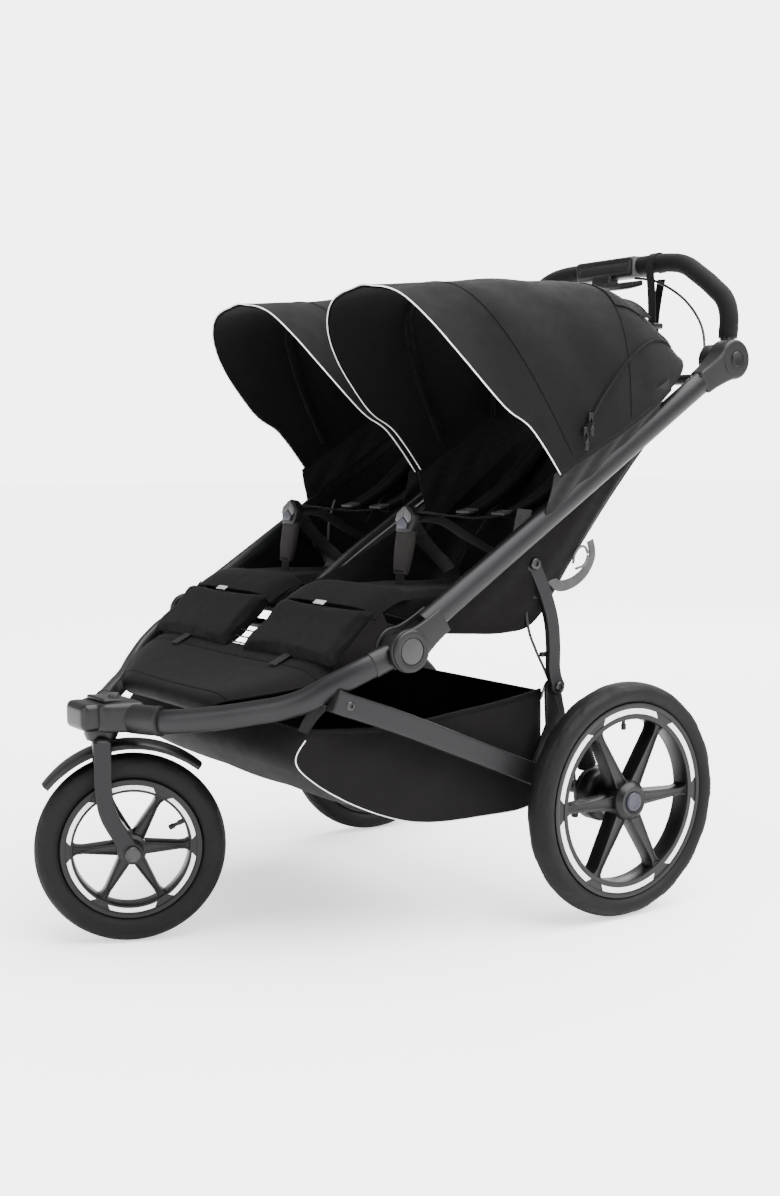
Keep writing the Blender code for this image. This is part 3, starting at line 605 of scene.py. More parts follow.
def ribbed_webbing(name, value, pitch=0.0016):
    """Nylon webbing: ribs along the strap, crossed by finer ones."""
    finish, tree, paint = shader(name)
    place = add(tree, "TexCoord").outputs["Object"]
    slow = mottled(tree, paint, place, grey(value * 1.2), grey(value * 0.85), 55.0)
    uneven_roughness(tree, paint, slow, 0.55, 0.68)
    weave = threads(tree, place, pitch, None)
    bumped(tree, paint, weave.outputs["Value"], 0.0003, 0.8)
    set_constants(paint, Specular_IOR_Level=0.2, Sheen_Weight=0.04, Sheen_Roughness=0.4)
    return finish


# %% The finishes of this stroller
TUBE = anodised("satin_tube", 0.010, 0.42)
FORK_METAL = anodised("fork_paint", 0.009, 0.45)
HOUSING = moulded("grained_plastic", 0.0050, 0.44)
HOUSING_DARK = moulded("black_plastic", 0.004, 0.38)
DISC = moulded("grey_disc", 0.030, 0.42)
RIM = moulded("rim_plastic", 0.0022, 0.38, grain=1500.0, depth=0.00003)
HUB_BUTTON = moulded("hub_button_plastic", 0.030, 0.4, blue=0.012)
BUCKLE_BUTTON = moulded("buckle_button_plastic", 0.055, 0.4, blue=0.015)
BUCKLE_EDGE = moulded("buckle_edge_plastic", 0.07, 0.38)
TYRE = vulcanised("tyre_rubber", 0.0024)
BELLOWS = vulcanised("bellows_rubber", 0.004)
CABLE = moulded("cable_jacket", 0.005, 0.32, grain=2400.0, depth=0.00002)
FOAM = foam("grip_foam", 0.005)
TAPE = reflective("reflector_tape")
DARK_STEEL = bare_steel("blackened_steel", 0.05, 0.3)
CANOPY = woven("canopy_cloth", 0.0014, flat=(0.9, 0.75), sheen=0.03, rough=0.72)
CANOPY_LINING = woven("canopy_lining", 0.004, flat=(0.9, 0.75), sheen=0.02)
SEAT = woven("seat_cloth", 0.0018, sheen=0.03)
PAD = woven("pad_cloth", 0.0008, sheen=0.03)
POD = woven("seat_side_cloth", 0.0012, sheen=0.03, warm=0.0006)
BASKET = woven("basket_cloth", 0.0030, sheen=0.03, warm=0.0006)
NET = netting("side_mesh", 0.006)
WEBBING = ribbed_webbing("black_webbing", 0.003)
GREY_WEBBING = ribbed_webbing("grey_webbing", 0.045, 0.002)
COVER = woven("buckle_cover_cloth", 0.016, sheen=0.05, warm=0.002)
PIPING = woven("white_piping", 0.80, pitch=0.0008, sheen=0.1, rough=0.6)
EDGING = woven("edge_binding", 0.0008, pitch=0.0008, sheen=0.02, rough=0.6)
LABEL = woven("blank_tag", 0.35, pitch=0.0008, sheen=0.1, rough=0.5)
print("finishes:", len(bpy.data.materials))

# %% [markdown]
# ## Wheels
# Each wheel is an air tyre on a six-spoke rim of moulded plastic. The tyre and the rim are things
# that a lathe makes, so both start as circles that are pushed along the axle and resized.
# The spokes are cut from flat blanks with a flare where they meet the rim, and bright reflector
# tape lies in a shallow channel between each pair of spokes.

# %% Tyre
SPOKES = 6
FIRST_SPOKE = 0.0


def signed_power(value, power):
    """A power that keeps the sign, for soft-cornered ovals."""
    return math.copysign(abs(value) ** power, value)


STEER_Y = -0.783
FRONT_CENTRE = at(0, STEER_Y + 0.044, 0.153)         # the front hub while the wheel points straight ahead
FRONT_WIDTH = 0.046


def wheel_size(node):
    """Centre, outer radius and half the width of a tyre, as it stands before it is steered."""
    low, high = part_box(node)
    if node == "front_tyre":
        return FRONT_CENTRE, (high.z - low.z) / 2, FRONT_WIDTH / 2
    return (low + high) / 2, (high.z - low.z) / 2, (high.x - low.x) / 2


def tyre(name, node, body, blocks):
    """A tyre with raised shoulder blocks, in the place of its CAD solid."""
    centre, outer, half = wheel_size(node)
    tall = TYRE_HEIGHTS[node]
    middle = outer - tall / 2
    profile = []
    for i in range(36):
        angle = 2 * math.pi * i / 36
        bulge = signed_power(math.cos(angle), 0.85)
        profile.append((middle + bulge * tall / 2, signed_power(math.sin(angle), 0.9) * half))
    piece = turned(name, profile, centre, sides=16 * blocks // 2, ring=True)
    period = 2 * math.pi / blocks

    def on_block(face):
        out = face.center - centre
        radius = math.hypot(out.y, out.z)
        share = (math.atan2(out.z, out.y) % period) / period
        shoulder = 0.30 * half < abs(out.x) < 0.93 * half and radius > middle + 0.10 * tall
        wide_row = abs(out.x) < 0.72 * half
        return shoulder and (0.12 < share < 0.88 if wide_row else 0.25 < share < 0.75)

    pick_faces(piece, on_block)
    bpy.ops.mesh.inset(thickness=0.0011, depth=-0.0009)
    bpy.ops.mesh.select_all(action="SELECT")
    bpy.ops.mesh.normals_make_consistent(inside=False)
    let_go()
    smooth(piece, 1)
    return finished(piece, body, TYRE, [node])


TYRE_HEIGHTS = {"front_tyre": 0.042, "rear_left_tyre": 0.036, "rear_right_tyre": 0.036}
front_tyre = tyre("front_tyre_rubber", "front_tyre", "front_wheel", 14)
rear_tyres = [tyre(f"rear_{side}_tyre_rubber", f"rear_{side}_tyre", f"wheel_{side}", 18) for side in SIDES]
print("tyre faces:", [len(piece.data.polygons) for piece in (front_tyre, *rear_tyres)])


# %% Rim, spokes and tape
def rim_ring(name, centre, bead, inner, tape, half):
    """The ring that the tyre sits on, with a channel for the tape on each face."""
    outside = [(bead + 0.004, half - 0.004), (bead + 0.0015, half), (bead - 0.005, half + 0.0006),
               (bead - 0.0062, half), (bead - 0.0066, half - 0.0015), (bead - 0.0066 - tape, half - 0.0015),
               (bead - 0.0070 - tape, half - 0.0002), (inner + 0.0008, half - 0.0004), (inner, half - 0.0016)]
    inside = [(radius, -place) for radius, place in reversed(outside)]
    return turned(name, outside + inside, centre, sides=96, ring=True)


def spoke(name, centre, hub, inner, angle, half, hub_width):
    """A flat spoke with a flare at the rim and a sunk face on both sides."""
    wide = [(hub * 0.75, hub_width / 2), (hub + 0.012, hub_width * 0.42), (inner - 0.016, hub_width * 0.23),
            (inner - 0.006, hub_width * 0.27), (inner + 0.0035, hub_width * 0.52)]
    outline = wide + [(out, -across) for out, across in reversed(wide)]
    out = Vector((0, math.cos(angle), math.sin(angle)))
    across = Vector((0, -math.sin(angle), math.cos(angle)))
    piece = panel(name, outline, 2 * half, centre - Vector((half, 0, 0)), out, across)
    pick_faces(piece, lambda face: abs(face.normal.x) > 0.9)
    bpy.ops.mesh.inset(thickness=0.0028, use_individual=True)
    bpy.ops.mesh.inset(thickness=0.0012, depth=-0.0026, use_individual=True)
    let_go()
    return edges_rounded(piece, 0.0009)


def tape_strip(name, centre, low, width, start, end, face):
    """A strip of reflector tape along the channel, with slanted ends."""
    slant = 0.8 * width / low

    def place(across, outward):
        angle = start + slant * outward + (end - start - 2 * slant * outward) * across
        radius = low + width * outward
        return centre + Vector((face, radius * math.cos(angle), radius * math.sin(angle)))

    piece = cloth_sheet(name, 24, 2, place)
    return closed_up(apply_modifier(piece, "SOLIDIFY", thickness=0.0012, offset=0))


def valve(name, centre, bead, angle, sideways):
    """A tyre valve: a rubber stem through the rim, with a ribbed cap."""
    inward = Vector((0, -math.cos(angle), -math.sin(angle)))
    start = centre - inward * bead + Vector((sideways, 0, 0))
    return turned(name, [(0.0042, 0.014), (0.0042, 0.027), (0.0031, 0.0285), (0.0031, 0.034),
                         (0.0044, 0.035), (0.0044, 0.0385), (0.0036, 0.039), (0.0044, 0.0395),
                         (0.0044, 0.043),
                         (0.0034, 0.0442)], start, inward, sides=20)


def wheel(label, node, body, bead, inner, tape, hub, hub_width, hub_profile, valve_angle, faces):
    """Everything of a wheel but its tyre."""
    centre = wheel_size(label + "_tyre")[0]
    half = 0.018
    parts = [rim_ring("ring", centre, bead, inner, tape, half), turned("hub", hub_profile, centre, sides=64)]
    for k in range(SPOKES):
        angle = FIRST_SPOKE + 2 * math.pi * k / SPOKES
        parts.append(spoke("spoke", centre, hub, inner, angle, half * 0.8, hub_width))
    rim = finished(joined(label + "_wheel_rim", parts), body, RIM, [node])
    strips = []
    for face in faces:
        for k in range(SPOKES):
            start = FIRST_SPOKE + 2 * math.pi * k / SPOKES + 0.6 * hub_width / bead
            end = start + 2 * math.pi / SPOKES - 1.2 * hub_width / bead
            strips.append(tape_strip("tape", centre, bead - 0.0066 - tape + 0.0008, tape - 0.0016, start, end,
                                     face * (half - 0.0012)))
    finished(joined(label + "_reflectors", strips), body, TAPE)
    stem = valve(label + "_valve", centre, bead, valve_angle, 0.004)
    finished(stem, body, HOUSING_DARK)
    return rim


FRONT_HUB = [(0.010, -0.034), (0.018, -0.034), (0.0185, -0.030), (0.0185, -0.024), (0.024, -0.021),
             (0.0245, -0.012), (0.0245, 0.012), (0.024, 0.021), (0.0185, 0.024), (0.0185, 0.030),
             (0.018, 0.034), (0.010, 0.034)]
wheel("front", "front_rim", "front_wheel", 0.111, 0.0925, 0.0085, 0.024, 0.021, FRONT_HUB,
      math.radians(25), (1, -1))
for side, sign in SIDES.items():
    rear_hub = [(0.012, -0.033), (0.028, -0.033), (0.034, -0.028), (0.034, 0.016), (0.0325, 0.021),
                (0.0265, 0.0255), (0.0255, 0.027), (0.0185, 0.027), (0.0172, 0.0262), (0.0172, 0.0235)]
    profile = [(radius, sign * place) for radius, place in rear_hub]
    wheel(f"rear_{side}", f"rear_{side}_rim", f"wheel_{side}", 0.164, 0.1385, 0.0105, 0.034, 0.026, profile,
          math.radians(92), (sign, -sign))
print("wheels done")

# %% [markdown]
# ## What the wheels turn on
# A rear wheel comes off when the button in the middle of its hub is pressed. Behind each rear wheel
# sits the drum of the brake, and the front axle shows as a plain round cap on each fork end.
# All of these are turned too, so they are the same lathe steps with their own profiles.

# %% Hub buttons, drums and axle
for side, sign in SIDES.items():
    low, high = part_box(f"release_button_{side}")
    centre = (low + high) / 2
    reach = (high.x - low.x) / 2
    button = turned(f"hub_button_{side}",
                    [(0.0100, -reach * sign), (0.0160, -reach * sign), (0.0160, 0.5 * reach * sign),
                     (0.0150, 0.85 * reach * sign), (0.0130, reach * sign), (0.0100, 0.82 * reach * sign),
                     (0.0060, 0.72 * reach * sign), (0.0020, 0.70 * reach * sign)], centre, sides=48)
    finished(button, f"hub_{side}", HUB_BUTTON, [f"release_button_{side}"])
    low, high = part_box(f"brake_drum_{side}")
    inner_x = low.x if sign > 0 else high.x
    centre = Vector((inner_x, AXLE.y, AXLE.z))
    steps = [(0.020, 0.001), (0.030, 0.001), (0.0325, 0.003), (0.0445, 0.005), (0.0468, 0.008),
             (0.0468, 0.016),
             (0.0455, 0.0168), (0.0455, 0.0182), (0.0468, 0.019), (0.0468, 0.033), (0.0450, 0.0362),
             (0.040, 0.0392), (0.0095, 0.0392), (0.0090, 0.083), (0.0075, 0.0838)]
    drum = turned(f"brake_drum_shell_{side}", [(radius, place * sign) for radius, place in steps], centre)
    finished(drum, "axle", HOUSING_DARK, [f"brake_drum_{side}"])

axle_centre = FRONT_CENTRE
reach = 0.0565
cap = [(0.0125, -0.0068), (0.0125, -0.0016), (0.0113, -0.0002), (0.0090, 0.0), (0.0085, -0.0006),
       (0.0030, -0.0006)]
pieces = [turned("axle_rod", [(0.0058, -reach + 0.004), (0.0058, reach - 0.004)], axle_centre, sides=32)]
for sign in (1, -1):
    pieces.append(turned("axle_cap", [(radius, sign * (reach + place)) for radius, place in cap],
                         axle_centre))
finished(joined("front_axle_rod", pieces), "fork", DARK_STEEL, ["front_axle"])
print("axles done")

# %% [markdown]
# ## The tubes
# The frame is bent from oval aluminium tube. A tube's middle line is a soft curve through a few
# places, and an oval section is carried along it, which is just what a tube bender does.
# The front tube sweeps from the head of the fork out to a knuckle, where the frame folds.

# %% Long tubes and front tubes
FOLD = (-0.439, 0.484)
HANDLE_PIVOT = (0.257, 0.944)
FRONT_ROUTE = [(0.070, -0.7405, 0.3635), (0.120, -0.720, 0.369), (0.160, -0.690, 0.375),
               (0.220, -0.637, 0.388),
               (0.280, -0.588, 0.407), (0.313, -0.540, 0.437), (0.333, -0.492, 0.462),
               (0.3358, -0.4595, 0.4745)]


def mirrored_places(points, sign):
    """The same places on the other side of the stroller."""
    return [at(sign * x, y, z) for x, y, z in points]


def keyhole(radius, neck, length, direction):
    """The outline of a round boss whose flanks sweep out into a neck, in (y, z) steps."""
    leave = math.radians(58)
    round_part = [(radius * math.cos(angle), radius * math.sin(angle))
                  for angle in (leave + (2 * math.pi - 2 * leave) * i / 36 for i in range(37))]
    start = Vector(round_part[0])
    pull = start + Vector((math.sin(leave), -math.cos(leave))) * (start.y - neck) * 1.05
    end = Vector((length, neck))
    elbow = Vector((length * 0.62, neck))
    flank = [start * (1 - t) ** 3 + pull * 3 * t * (1 - t) ** 2 + elbow * 3 * t * t * (1 - t) + end * t ** 3
             for t in (0.15, 0.3, 0.45, 0.6, 0.75, 0.88, 1.0)]
    upper = [(point.x, point.y) for point in reversed(flank)]
    lower = [(point.x, -point.y) for point in flank]
    outline = upper + round_part + lower
    turn = math.atan2(direction[1], direction[0])
    return [(a * math.cos(turn) - b * math.sin(turn), a * math.sin(turn) + b * math.cos(turn)) for a,
            b in outline]


def flared(piece, centre, direction, share):
    """Draws a housing's outer face in towards its tube, more and more along its neck."""
    along_tube = Vector((0, *direction)).normalized()
    for vertex in piece.data.vertices:
        reach = (vertex.co - at(vertex.co.x, *centre)).dot(along_tube)
        out = abs(vertex.co.x) - TUBE_X
        if out > 0 and reach > 0.024:
            ease = min(1.0, (reach - 0.024) / 0.052)
            ease = ease * ease * (3 - 2 * ease)
            vertex.co.x = math.copysign(TUBE_X + out * (1 - (1 - share) * ease), vertex.co.x)


def blade(name, route, width, thick):
    """A flat bar with rounded edges: it follows a route and keeps its flat faces towards the sides."""
    def place(across, share):
        step = along(route, min(1.0, share + 0.02)) - along(route, max(0.0, share - 0.02))
        return along(route, share) + step.cross(Vector((1, 0, 0))).normalized() * (across - 0.5) * width

    piece = cloth_sheet(name, 5, 48, place)
    apply_modifier(piece, "SOLIDIFY", thickness=thick, offset=0)
    return edges_rounded(closed_up(piece), thick * 0.36, 4, angle=60)


for side, sign in SIDES.items():
    tube = bar(f"long_tube_{side}", [at(sign * TUBE_X, y, tube_z(y)) for y in (-0.400, -0.2, 0.0, 0.222)],
               0.028, 0.040, sides=12, detail=4)
    finished(tube, "upper_frame", TUBE, [f"upper_tube_{side}"])
    front = bar(f"front_tube_{side}_bent", mirrored_places(FRONT_ROUTE, sign), 0.027, 0.038, sides=12,
                detail=12)
    finished(front, "front_frame", TUBE, [f"front_tube_{side}"])
print("tubes:", [round(value, 3) for value in tube.dimensions])

# %% [markdown]
# ## The fold joint
# At the knuckle the front tube ends in a disc that turns between two cheeks on the long tube.
# The cheeks are plastic covers with a round end, and their flanks run out along the tube.
# Cutting them from a flat blank and rounding the rim keeps both sides alike.

# %% Cheeks, knuckle and disc
UP_TUBE = (1, SLOPE)
for side, sign in SIDES.items():
    cheek_outline = keyhole(0.0338, 0.0206, 0.082, UP_TUBE)
    for label, low, thick in (("outer", 0.3512, 0.0105), ("inner", 0.3150, 0.0053)):
        start = at(sign * (low if sign > 0 else low + thick), FOLD[0], FOLD[1])
        cheek = panel(f"hinge_cheek_{label}_{side}", cheek_outline, thick, start, (0, 1, 0), (0, 0, 1))
        edges_rounded(cheek, 0.0035 if label == "outer" else 0.0018, 4)
        if label == "outer":
            flared(cheek, FOLD, UP_TUBE, 0.88)
        finished(cheek, "upper_frame", HOUSING)
    low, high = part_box(f"hinge_cap_{side}")
    inner_x = low.x if sign > 0 else high.x
    thick = high.x - low.x
    centre = at(inner_x, *FOLD)
    ring = [(0.0200, -0.0006), (0.0318, -0.0006), (0.0328, 0.001), (0.0326, thick - 0.0022),
            (0.0308, thick - 0.0004), (0.0285, thick), (0.0230, thick), (0.0216, thick - 0.0006),
            (0.0211, thick - 0.0022), (0.0200, thick - 0.0022)]
    cover = turned(f"hinge_ring_{side}", [(radius, sign * place) for radius, place in ring], centre,
                   ring=True)
    finished(cover, "upper_frame", HOUSING, [f"hinge_cap_{side}"])
    face = [(0.0204, 0.0), (0.0204, thick - 0.0016), (0.0198, thick - 0.0006), (0.0185, thick - 0.0003)]
    disc = turned(f"hinge_disc_{side}", [(radius, sign * place) for radius, place in face], centre)
    finished(disc, "upper_frame", DISC)
    hub = [(0.012, -0.0146), (0.027, -0.0146), (0.0287, -0.0130), (0.0287, 0.0130), (0.027, 0.0146),
           (0.012, 0.0146)]
    middle = at(sign * 0.33575, *FOLD)
    knuckle = turned(f"fold_knuckle_{side}", [(radius, sign * place) for radius, place in hub], middle)
    sleeve_line = [along(FRONT_ROUTE, share) for share in (0.86, 0.93, 1.0)]
    sleeve = bar("sleeve", mirrored_places([tuple(p) for p in sleeve_line], sign), 0.0286, 0.0415, sides=12,
                 detail=6)
    edges_rounded(sleeve, 0.0015, 2)
    finished(joined(f"fold_knuckle_{side}", [knuckle, sleeve]), "front_frame", HOUSING_DARK)
print("fold joint at", FOLD, "ahead of and above the axle")

# %% [markdown]
# ## The head
# The two front tubes plug into a moulded head that carries the fork. It is a wide rounded block
# with a sleeve on each side, a cap on its nose and a collar below it for the fork's stem.
# A block is pulled to shape in edit mode; the sleeves are short pieces of a larger oval tube.

# %% Head, sleeves, cap and collar
head_low, head_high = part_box("head_housing")
cap_low, cap_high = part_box("head_cap")
head_mid = (head_low + head_high) / 2
HEAD_Z = 0.3692


def shaped_head():
    """The middle of the head: wide at the back, narrower and rounder at the nose."""
    piece = block("head_block", Vector((0, head_mid.y, HEAD_Z)), (0.124, 0.074, 0.050), 0.012, 5)
    low, high = head_mid.y - 0.035, head_mid.y + 0.035
    for vertex in piece.data.vertices:
        nose = (high - vertex.co.y) / (high - low)
        vertex.co.x *= 1 - 0.34 * nose ** 2
        vertex.co.z = HEAD_Z + (vertex.co.z - HEAD_Z) * (1 - 0.10 * nose ** 2)
    return smooth(piece, 1)


head = [shaped_head()]
for sign in (1, -1):
    line = [at(sign * x, y, z) for x, y, z in ((0.020, -0.7640, 0.3680), (0.060, -0.7470, 0.3668),
                                               (0.1045, -0.7285, 0.3680))]
    sleeve = bar("sleeve", line, 0.0345, 0.0465, sizes=(1.0, 1.02, 1.0), sides=12, detail=8)
    head.append(edges_rounded(sleeve, 0.0022, 3))
    rim = bar("sleeve_rim", [line[2] - (line[2] - line[1]) * 0.16, line[2] - (line[2] - line[1]) * 0.04],
              0.0362, 0.0485, sides=12, detail=2)
    head.append(edges_rounded(rim, 0.0009, 2))
head_piece = finished(joined("head_shell", head), "front_frame", HOUSING, ["head_housing"])
collar = turned("steering_collar", [(0.0262, 0.004), (0.0272, 0.0), (0.0272, -0.009), (0.0235, -0.0180),
                                    (0.0190, -0.0185)],
                at(0, -0.783, 0.3480), (0, 0, 1))
finished(collar, "front_frame", HOUSING_DARK)


def nose_cap():
    """The cap on the nose, wrapped a little over the head's front."""
    centre = (cap_low + cap_high) / 2
    piece = block("nose", centre + Vector((0, 0.009, 0)), (0.074, 0.034, 0.044), 0.0100, 5)
    for vertex in piece.data.vertices:
        forward = max(0.0, (centre.y - vertex.co.y) / 0.013)
        vertex.co.x *= 1 - 0.18 * forward
        vertex.co.z = centre.z + (vertex.co.z - centre.z) * (1 - 0.15 * forward)
    return smooth(piece, 1)


finished(nose_cap(), "front_frame", HOUSING_DARK, ["head_cap"]).name = "head_nose_cap"
bridge = block("head_top_plate", at(0, -0.7690, 0.3935), (0.066, 0.048, 0.0075), 0.0030, 3,
               Matrix.Rotation(math.radians(-5), 4, "X"))
finished(smooth(bridge, 1), "front_frame", HOUSING_DARK)
low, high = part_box("swivel_lock_button")
knob = [(0.0088, 0.0), (0.0088, 0.0095), (0.0080, 0.0112), (0.0060, 0.0118), (0.0030, 0.0112)]
finished(turned("swivel_button", knob, Vector((0, (low.y + high.y) / 2, low.z)), (0, 0, 1), sides=40),
         "swivel_lock", DISC, ["swivel_lock_button"])
print("head:", [round(value, 3) for value in head_piece.dimensions])

# %% [markdown]
# ## Fork and fender
# The fork drops on each side of the wheel and then rakes back to the axle, which lies behind the
# steering line, so that the wheel trails like a castor. Each leg is a flat oval bar.
# The fender is one curved sheet of plastic with its edges turned down, so it is made as a sheet
# that is rolled round the wheel and then given its thickness.

# %% Fork
LEG = [(-0.001, 0.332), (0.0, 0.300), (0.0, 0.262), (0.006, 0.220), (0.024, 0.184), (0.0425, 0.1545)]
fork = []
for sign in (1, -1):
    fork.append(blade("leg", [at(sign * 0.0430, STEER_Y + y, z) for y, z in LEG], 0.027, 0.0125))
    eye = [(0.0115, 0.0365), (0.0160, 0.0365), (0.0172, 0.0380), (0.0172, 0.0480), (0.0162, 0.0495),
           (0.0128, 0.0495)]
    fork.append(turned("eye", [(radius, sign * place) for radius, place in eye], axle_centre, sides=48))
crown = block("crown", at(0, STEER_Y, 0.3190), (0.094, 0.030, 0.032), 0.0095, 4)
for vertex in crown.data.vertices:
    vertex.co.z += 0.004 * (1 - (vertex.co.x / 0.047) ** 2)
fork.append(crown)
fork.append(turned("stem", [(0.0118, 0.32), (0.0118, 0.366)], at(0, STEER_Y, 0), (0, 0, 1), sides=32))
fork_piece = finished(joined("fork_legs", fork), "fork", FORK_METAL, ["fork"])
print("fork:", [round(value, 3) for value in fork_piece.dimensions], "trail",
      round(axle_centre.y - at(0, STEER_Y, 0).y, 3))


# %% Fender
def fender_place(along_arc, across):
    """A place on the fender: rolled round the wheel, its sides bent down."""
    angle = math.radians(49 + 93 * along_arc)
    s = 2 * across - 1
    taper = 1 - 0.30 * max(0.0, abs(2 * along_arc - 1) - 0.7) / 0.3
    x = 0.0302 * taper * math.sin(s * math.pi / 2)
    radius = 0.1636 + 0.0125 * max(0.0, math.cos(s * math.pi / 2)) ** 0.55
    return axle_centre + Vector((x, radius * math.cos(angle), radius * math.sin(angle)))


fender = cloth_sheet("fender_shell", 48, 20, fender_place)
apply_modifier(fender, "SOLIDIFY", thickness=0.0026, offset=-1)
closed_up(fender)
edges_rounded(fender, 0.0006, 2)
finished(fender, "fork", HOUSING, ["fender"])
print("fender:", [round(value, 3) for value in fender.dimensions])

# %% [markdown]
# The front wheel of a stroller left standing is seldom straight. Its pieces were made pointing
# straight ahead, where they are easy to measure; now they all turn about the steering axis.

# %% Steering the front wheel
STEER = math.radians(-22.6)
steering_axis = at(0, STEER_Y, 0)
steered = (Matrix.Translation(steering_axis) @ Matrix.Rotation(STEER, 4, "Z")
           @ Matrix.Translation(-steering_axis))
for name in ("front_tyre_rubber", "front_wheel_rim", "front_reflectors", "front_valve", "front_axle_rod",
             "fork_legs", "fender_shell"):
    bpy.data.objects[name].data.transform(steered)
print("front wheel steered by", round(math.degrees(STEER), 1), "degrees")

# %% [markdown]
# ## Behind the seats: rails, struts, axle beam and springs
# A rail runs from the front tube down to the rear axle, and a strut stands between the axle and
# the long tube. Both are flat bars. The rear axle rides on a small spring inside a ribbed rubber
# bellows, which takes the shocks of a rough path.

# %% Rails and their brackets
RAIL = [(-0.553, 0.4140), (-0.528, 0.404), (-0.505, 0.396), (-0.428, 0.3665), (-0.330, 0.326),
        (-0.227, 0.283), (-0.141, 0.247), (-0.092, 0.2262)]
STRUT = [(-0.163, 0.603), (-0.150, 0.580), (-0.135, 0.550), (-0.120, 0.507), (-0.115, 0.465),
         (-0.1145, 0.425), (-0.106, 0.396)]
RAIL_X = 0.320
STRUT_X = 0.319
for side, sign in SIDES.items():
    rail = blade("rail", [at(sign * RAIL_X, y, z) for y, z in RAIL], 0.036, 0.024)
    bracket = panel("bracket", [(-0.150, 0.268), (-0.128, 0.225), (-0.090, 0.2145), (-0.060, 0.226),
                                (-0.052, 0.262),
                                (-0.070, 0.318), (-0.084, 0.372), (-0.089, 0.398), (-0.098, 0.410),
                                (-0.112, 0.409),
                                (-0.120, 0.398), (-0.121, 0.380), (-0.118, 0.330)],
                    0.0075, at(sign * 0.3070 - (0.00375 if sign > 0 else 0.00375), 0, 0), (0, 1, 0),
                    (0, 0, 1))
    edges_rounded(bracket, 0.002, 3)
    shelf = block("shelf", at(sign * 0.306, -0.047, 0.3005), (0.030, 0.040, 0.011), 0.003, 3,
                  Matrix.Rotation(math.radians(25), 4, "X"))
    finished(joined(f"lower_rail_{side}_bar", [rail, bracket, shelf]), "rail", TUBE,
             [f"lower_rail_{side}"])
    strut = blade("strut", [at(sign * STRUT_X, y, z) for y, z in STRUT], 0.0245, 0.0118)
    top = turned("strut_top", [(0.006, -0.0060), (0.0148, -0.0060), (0.0158, -0.0048), (0.0158, 0.0048),
                               (0.0148, 0.0060), (0.006, 0.0060)], at(sign * STRUT_X, *STRUT[0]), sides=40)
    foot = turned("strut_foot", [(0.006, -0.0058), (0.0128, -0.0058), (0.0138, -0.0046), (0.0138, 0.0046),
                                 (0.0128, 0.0058), (0.006, 0.0058)], at(sign * STRUT_X, *STRUT[-1]), sides=40)
    finished(joined(f"strut_{side}_bar", [strut, top, foot]), f"strut_{side}_link", FORK_METAL,
             [f"strut_{side}"])
print("rails and struts done")


# %% Bolts, bellows and the axle beam
def bolt(name, place, out, radius, height, body, finish=DARK_STEEL):
    """A round-headed bolt with a sunk socket."""
    profile = [(radius, 0.0), (radius, 0.55 * height), (radius * 0.9, 0.85 * height), (radius * 0.7, height),
               (radius * 0.46, height), (radius * 0.42, 0.5 * height), (radius * 0.1, 0.45 * height)]
    piece = turned(name, profile, place, out, sides=28)
    return finished(piece, body, finish)


SHOCK = Vector((0, -0.42, 0.9075)).normalized()
for side, sign in SIDES.items():
    out = (sign, 0, 0)
    bolt(f"strut_top_bolt_{side}", at(sign * (STRUT_X + 0.0060), *STRUT[0]), out, 0.0098, 0.0058,
         f"strut_{side}_link")
    bolt(f"strut_foot_bolt_{side}", at(sign * (STRUT_X + 0.0058), *STRUT[-1]), out, 0.0082, 0.0042,
         f"strut_{side}_link")
    bolt(f"rail_pivot_bolt_{side}", at(sign * (RAIL_X + 0.0102), -0.528, 0.404), out, 0.0075, 0.0035, "rail")
    ribs = []
    for i in range(12):
        start = 0.0535 + i * 0.0042
        ribs += [(0.0130, start), (0.0166, start + 0.0014), (0.0166, start + 0.0026)]
    ribs.append((0.0130, 0.1042))
    bellows = turned(f"shock_bellows_{side}_rubber", [(0.009, 0.0525)] + ribs + [(0.009, 0.1045)],
                     at(sign * 0.306, 0, AXLE.z), SHOCK, sides=40)
    finished(bellows, "rail", BELLOWS, [f"shock_bellows_{side}"])
_, beam_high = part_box("rear_axle_beam")
reach = beam_high.x
beam = turned("axle_beam", [(0.0100, -reach), (0.0120, -reach + 0.001), (0.0120, -0.285), (0.0135, -0.284),
                            (0.0135, -0.262), (0.0118, -0.261), (0.0118, 0.261), (0.0135, 0.262),
                            (0.0135, 0.284),
                            (0.0120, 0.285), (0.0120, reach - 0.001), (0.0100, reach)],
              Vector((0, AXLE.y, AXLE.z)), sides=40)
finished(beam, "axle", TUBE, ["rear_axle_beam"])
print("axle beam", round(2 * reach, 3), "m long")

# %% [markdown]
# ## The handlebar
# The bar is wrapped in foam from hinge to hinge, so what shows is a fat, soft, matte tube that
# rises from two round joints and turns across the back. On its middle sits a moulded grip block
# with the brake lever underneath, and a wrist strap is looped round the bar beside it.

